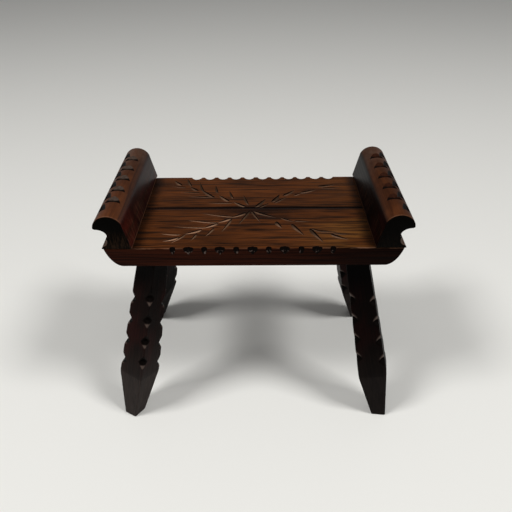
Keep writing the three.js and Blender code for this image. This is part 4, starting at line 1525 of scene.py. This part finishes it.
def build_leg(name, top_x, top_y, turn, pitch, rises, bare_and_lit_end, light, leg, wood):
    form = LegForm(leg, math.radians(turn), leg_axis(leg, top_x, top_y), pitch, rises)
    top = Vector((top_x, top_y, UNDERSIDE))
    even = np.linspace(EVEN_FROM, (UNDERSIDE - JOINT_GAP) / MM, EVEN_RINGS)
    heights = np.concatenate([FOOT_RINGS, even]) * MM
    angles = np.arange(LEG_FACETS) * 2 * math.pi / LEG_FACETS
    axis = form.lean @ Z
    rays = [form.turned @ Vector((math.cos(a), math.sin(a), 0)) for a in angles]
    climb = np.array([-ray.z / axis.z for ray in rays])
    height = np.repeat(heights[:, None], LEG_FACETS, axis=1)
    on_axis = (height - UNDERSIDE) * form.along_per_height
    cosine = np.broadcast_to(np.cos(angles), height.shape)
    sine = np.broadcast_to(np.sin(angles), height.shape)

    def at(reach):
        return reach * cosine, reach * sine, on_axis + reach * climb

    near = np.full(height.shape, SEARCH_LOW)
    far = np.full(height.shape, SEARCH_HIGH)
    for _ in range(SEARCH_STEPS):
        reach = (near + far) / 2
        value = form.solid(*at(reach), height)
        near = np.where(value < 0, reach, near)
        far = np.where(value < 0, far, reach)
    reach = (near + far) / 2
    local = np.stack(at(reach), axis=-1).reshape(-1, 3)
    ripples = np.array([noise.noise(Vector(point) * LEG_RIPPLE) for point in local])
    wobble = (ripples.reshape(reach.shape) + 1) / 2 * leg.waver
    reach = reach - wobble * np.clip((UNDERSIDE - height) / RIPPLE_FADE, 0, 1)
    local = np.stack(at(reach), axis=-1).reshape(-1, 3)
    # The round tenon rises from the top ring
    tenon = tenon_length(leg)
    rings = []
    base_z = -JOINT_GAP * form.along_per_height
    for radius, level in ((leg.tenon_radius, None), (leg.tenon_radius, tenon - TENON_CHAMFER),
                          (leg.tenon_radius - TENON_CHAMFER, tenon)):
        z = base_z + radius * climb if level is None else np.full(LEG_FACETS, level)
        rings.append(np.stack([radius * cosine[0], radius * sine[0], z], axis=-1))
    local = np.concatenate([local, *rings])
    points = local @ np.array(form.turned).T + np.array(top)
    piece = mesh_object(f"leg_{name}", points, tube_faces(len(heights) + len(rings), LEG_FACETS))
    for key, values in leg_masks(form, local, bare_and_lit_end, light).items():
        carry(piece.data, key, values.astype(np.float32))
    carry(piece.data, "grain_place", local.astype(np.float32).ravel(), 'FLOAT_VECTOR')
    piece.data.materials.append(wood)
    hand_over(piece, f"leg_{name}")


def build_legs(leg, colours):
    wood = leg_finish(colours)
    for place in leg_places(leg):
        build_leg(*place, leg, wood)


# Pegs and screws

def dress_nodes(prefix, material):
    """Gives the frame's own pieces of one kind their finish."""
    for name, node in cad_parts.items():
        if name.startswith(prefix):
            node.data.materials.clear()
            node.data.materials.append(material)


# Stage

FLOOR_ROUGHNESS = 0.55
HORIZON_END = math.radians(5)
CEILING_START = math.radians(32)
SENSOR_WIDTH = 36


def build_stage(stage):
    scene = bpy.context.scene
    half = stage.floor_size / 2
    floor = mesh_object("floor", [(-half, -half, 0), (half, -half, 0), (half, half, 0), (-half, half, 0)],
                        [(0, 1, 2, 3)])
    paint = Finish("floor_paint")
    floor.data.materials.append(paint.close((*stage.floor, 1), FLOOR_ROUGHNESS, gloss=PLAIN_GLOSS))
    for hand in (-1, 1):
        lamp = bpy.data.lights.new("lamp", 'AREA')
        lamp.energy = stage.lamp_power
        lamp.shape = 'SQUARE'
        lamp.size = stage.lamp_size
        holder = bpy.data.objects.new("lamp", lamp)
        scene.collection.objects.link(holder)
        way = Vector((hand * stage.lamp_out, -stage.lamp_fore, 1)).normalized()
        holder.location = way * stage.lamp_distance
        holder.rotation_euler = way.to_track_quat('Z', 'Y').to_euler()
    world = bpy.data.worlds.new("room")
    scene.world = world
    world.use_nodes = True
    room = Graph(world.node_tree)
    room.tree.nodes.clear()
    way = room.node('ShaderNodeTexCoord', output="Generated")
    up = room.node('ShaderNodeSeparateXYZ', inputs={0: way}, output="Z")
    strength = room.node('ShaderNodeMapRange', {"interpolation_type": 'SMOOTHSTEP'},
                         {"Value": up, "From Min": math.sin(HORIZON_END),
                          "From Max": math.sin(CEILING_START), "To Min": stage.horizon,
                          "To Max": stage.ceiling}, "Result")
    light = room.node('ShaderNodeBackground', inputs={"Strength": strength})
    room.node('ShaderNodeOutputWorld', inputs={"Surface": light})
    lens = bpy.data.cameras.new("camera")
    lens.lens = stage.camera_lens
    lens.sensor_width = SENSOR_WIDTH
    camera = bpy.data.objects.new("camera", lens)
    scene.collection.objects.link(camera)
    turn = (Matrix.Rotation(stage.camera_yaw, 4, 'Z')
            @ Matrix.Rotation(math.pi / 2 - stage.camera_pitch, 4, 'X')
            @ Matrix.Rotation(-stage.camera_roll, 4, 'Z'))
    camera.matrix_world = Matrix.Translation(stage.camera_place) @ turn
    scene.camera = camera
    scene.view_settings.view_transform = 'Standard'


# Operators, panel and registration

class StoolOperator:
    bl_options = {'REGISTER', 'UNDO'}


class STOOL_OT_seat(StoolOperator, bpy.types.Operator):
    """Makes the two carved seat planks"""
    bl_idname = "stool.seat"
    bl_label = "Seat planks"

    def execute(self, context):
        scene = context.scene
        build_seat(scene.stool_seat, scene.stool_leg, scene.stool_finish, row_recipe())
        return {'FINISHED'}


class STOOL_OT_rails(StoolOperator, bpy.types.Operator):
    """Makes the two scrolled rails"""
    bl_idname = "stool.rails"
    bl_label = "Scrolled rails"

    def execute(self, context):
        scene = context.scene
        build_rails(scene.stool_rail, scene.stool_seat, scene.stool_finish, row_recipe())
        return {'FINISHED'}


class STOOL_OT_legs(StoolOperator, bpy.types.Operator):
    """Makes the four notched legs"""
    bl_idname = "stool.legs"
    bl_label = "Notched legs"

    def execute(self, context):
        build_legs(context.scene.stool_leg, context.scene.stool_finish)
        return {'FINISHED'}


class STOOL_OT_joints(StoolOperator, bpy.types.Operator):
    """Finishes the dowels, wedges and screws"""
    bl_idname = "stool.joints"
    bl_label = "Dowels, wedges and screws"

    def execute(self, context):
        colours = context.scene.stool_finish
        wood = beech_finish(colours)
        dress_nodes("seat_dowel", wood)
        dress_nodes("tenon_wedge", wood)
        dress_nodes("rail_screw", steel_finish(colours))
        return {'FINISHED'}


class STOOL_OT_stage(StoolOperator, bpy.types.Operator):
    """Sets up the floor, the light and the camera"""
    bl_idname = "stool.stage"
    bl_label = "Floor, light and camera"

    def execute(self, context):
        build_stage(context.scene.stool_stage)
        return {'FINISHED'}


class STOOL_PT_panel(bpy.types.Panel):
    """Lists the steps that make the stool"""
    bl_idname = "STOOL_PT_panel"
    bl_label = "Carved stool"
    bl_space_type = 'VIEW_3D'
    bl_region_type = 'UI'
    bl_category = "Stool"

    def draw(self, context):
        for step in STEPS:
            self.layout.operator(step.bl_idname)


STEPS = (STOOL_OT_stage, STOOL_OT_seat, STOOL_OT_rails, STOOL_OT_legs, STOOL_OT_joints)
GROUPS = {"stool_seat": StoolSeat, "stool_rail": StoolRail, "stool_leg": StoolLeg,
          "stool_finish": StoolFinish, "stool_stage": StoolStage}


def register():
    for group in GROUPS.values():
        bpy.utils.register_class(group)
    for name, group in GROUPS.items():
        setattr(bpy.types.Scene, name, PointerProperty(type=group))
    for step in (*STEPS, STOOL_PT_panel):
        bpy.utils.register_class(step)


def unregister():
    for step in (STOOL_PT_panel, *reversed(STEPS)):
        bpy.utils.unregister_class(step)
    for name in GROUPS:
        delattr(bpy.types.Scene, name)
    for group in GROUPS.values():
        bpy.utils.unregister_class(group)


def main():
    register()
    for step in STEPS:
        group, action = step.bl_idname.split(".")
        getattr(getattr(bpy.ops, group), action)()


if __name__ == "__main__":
    main()
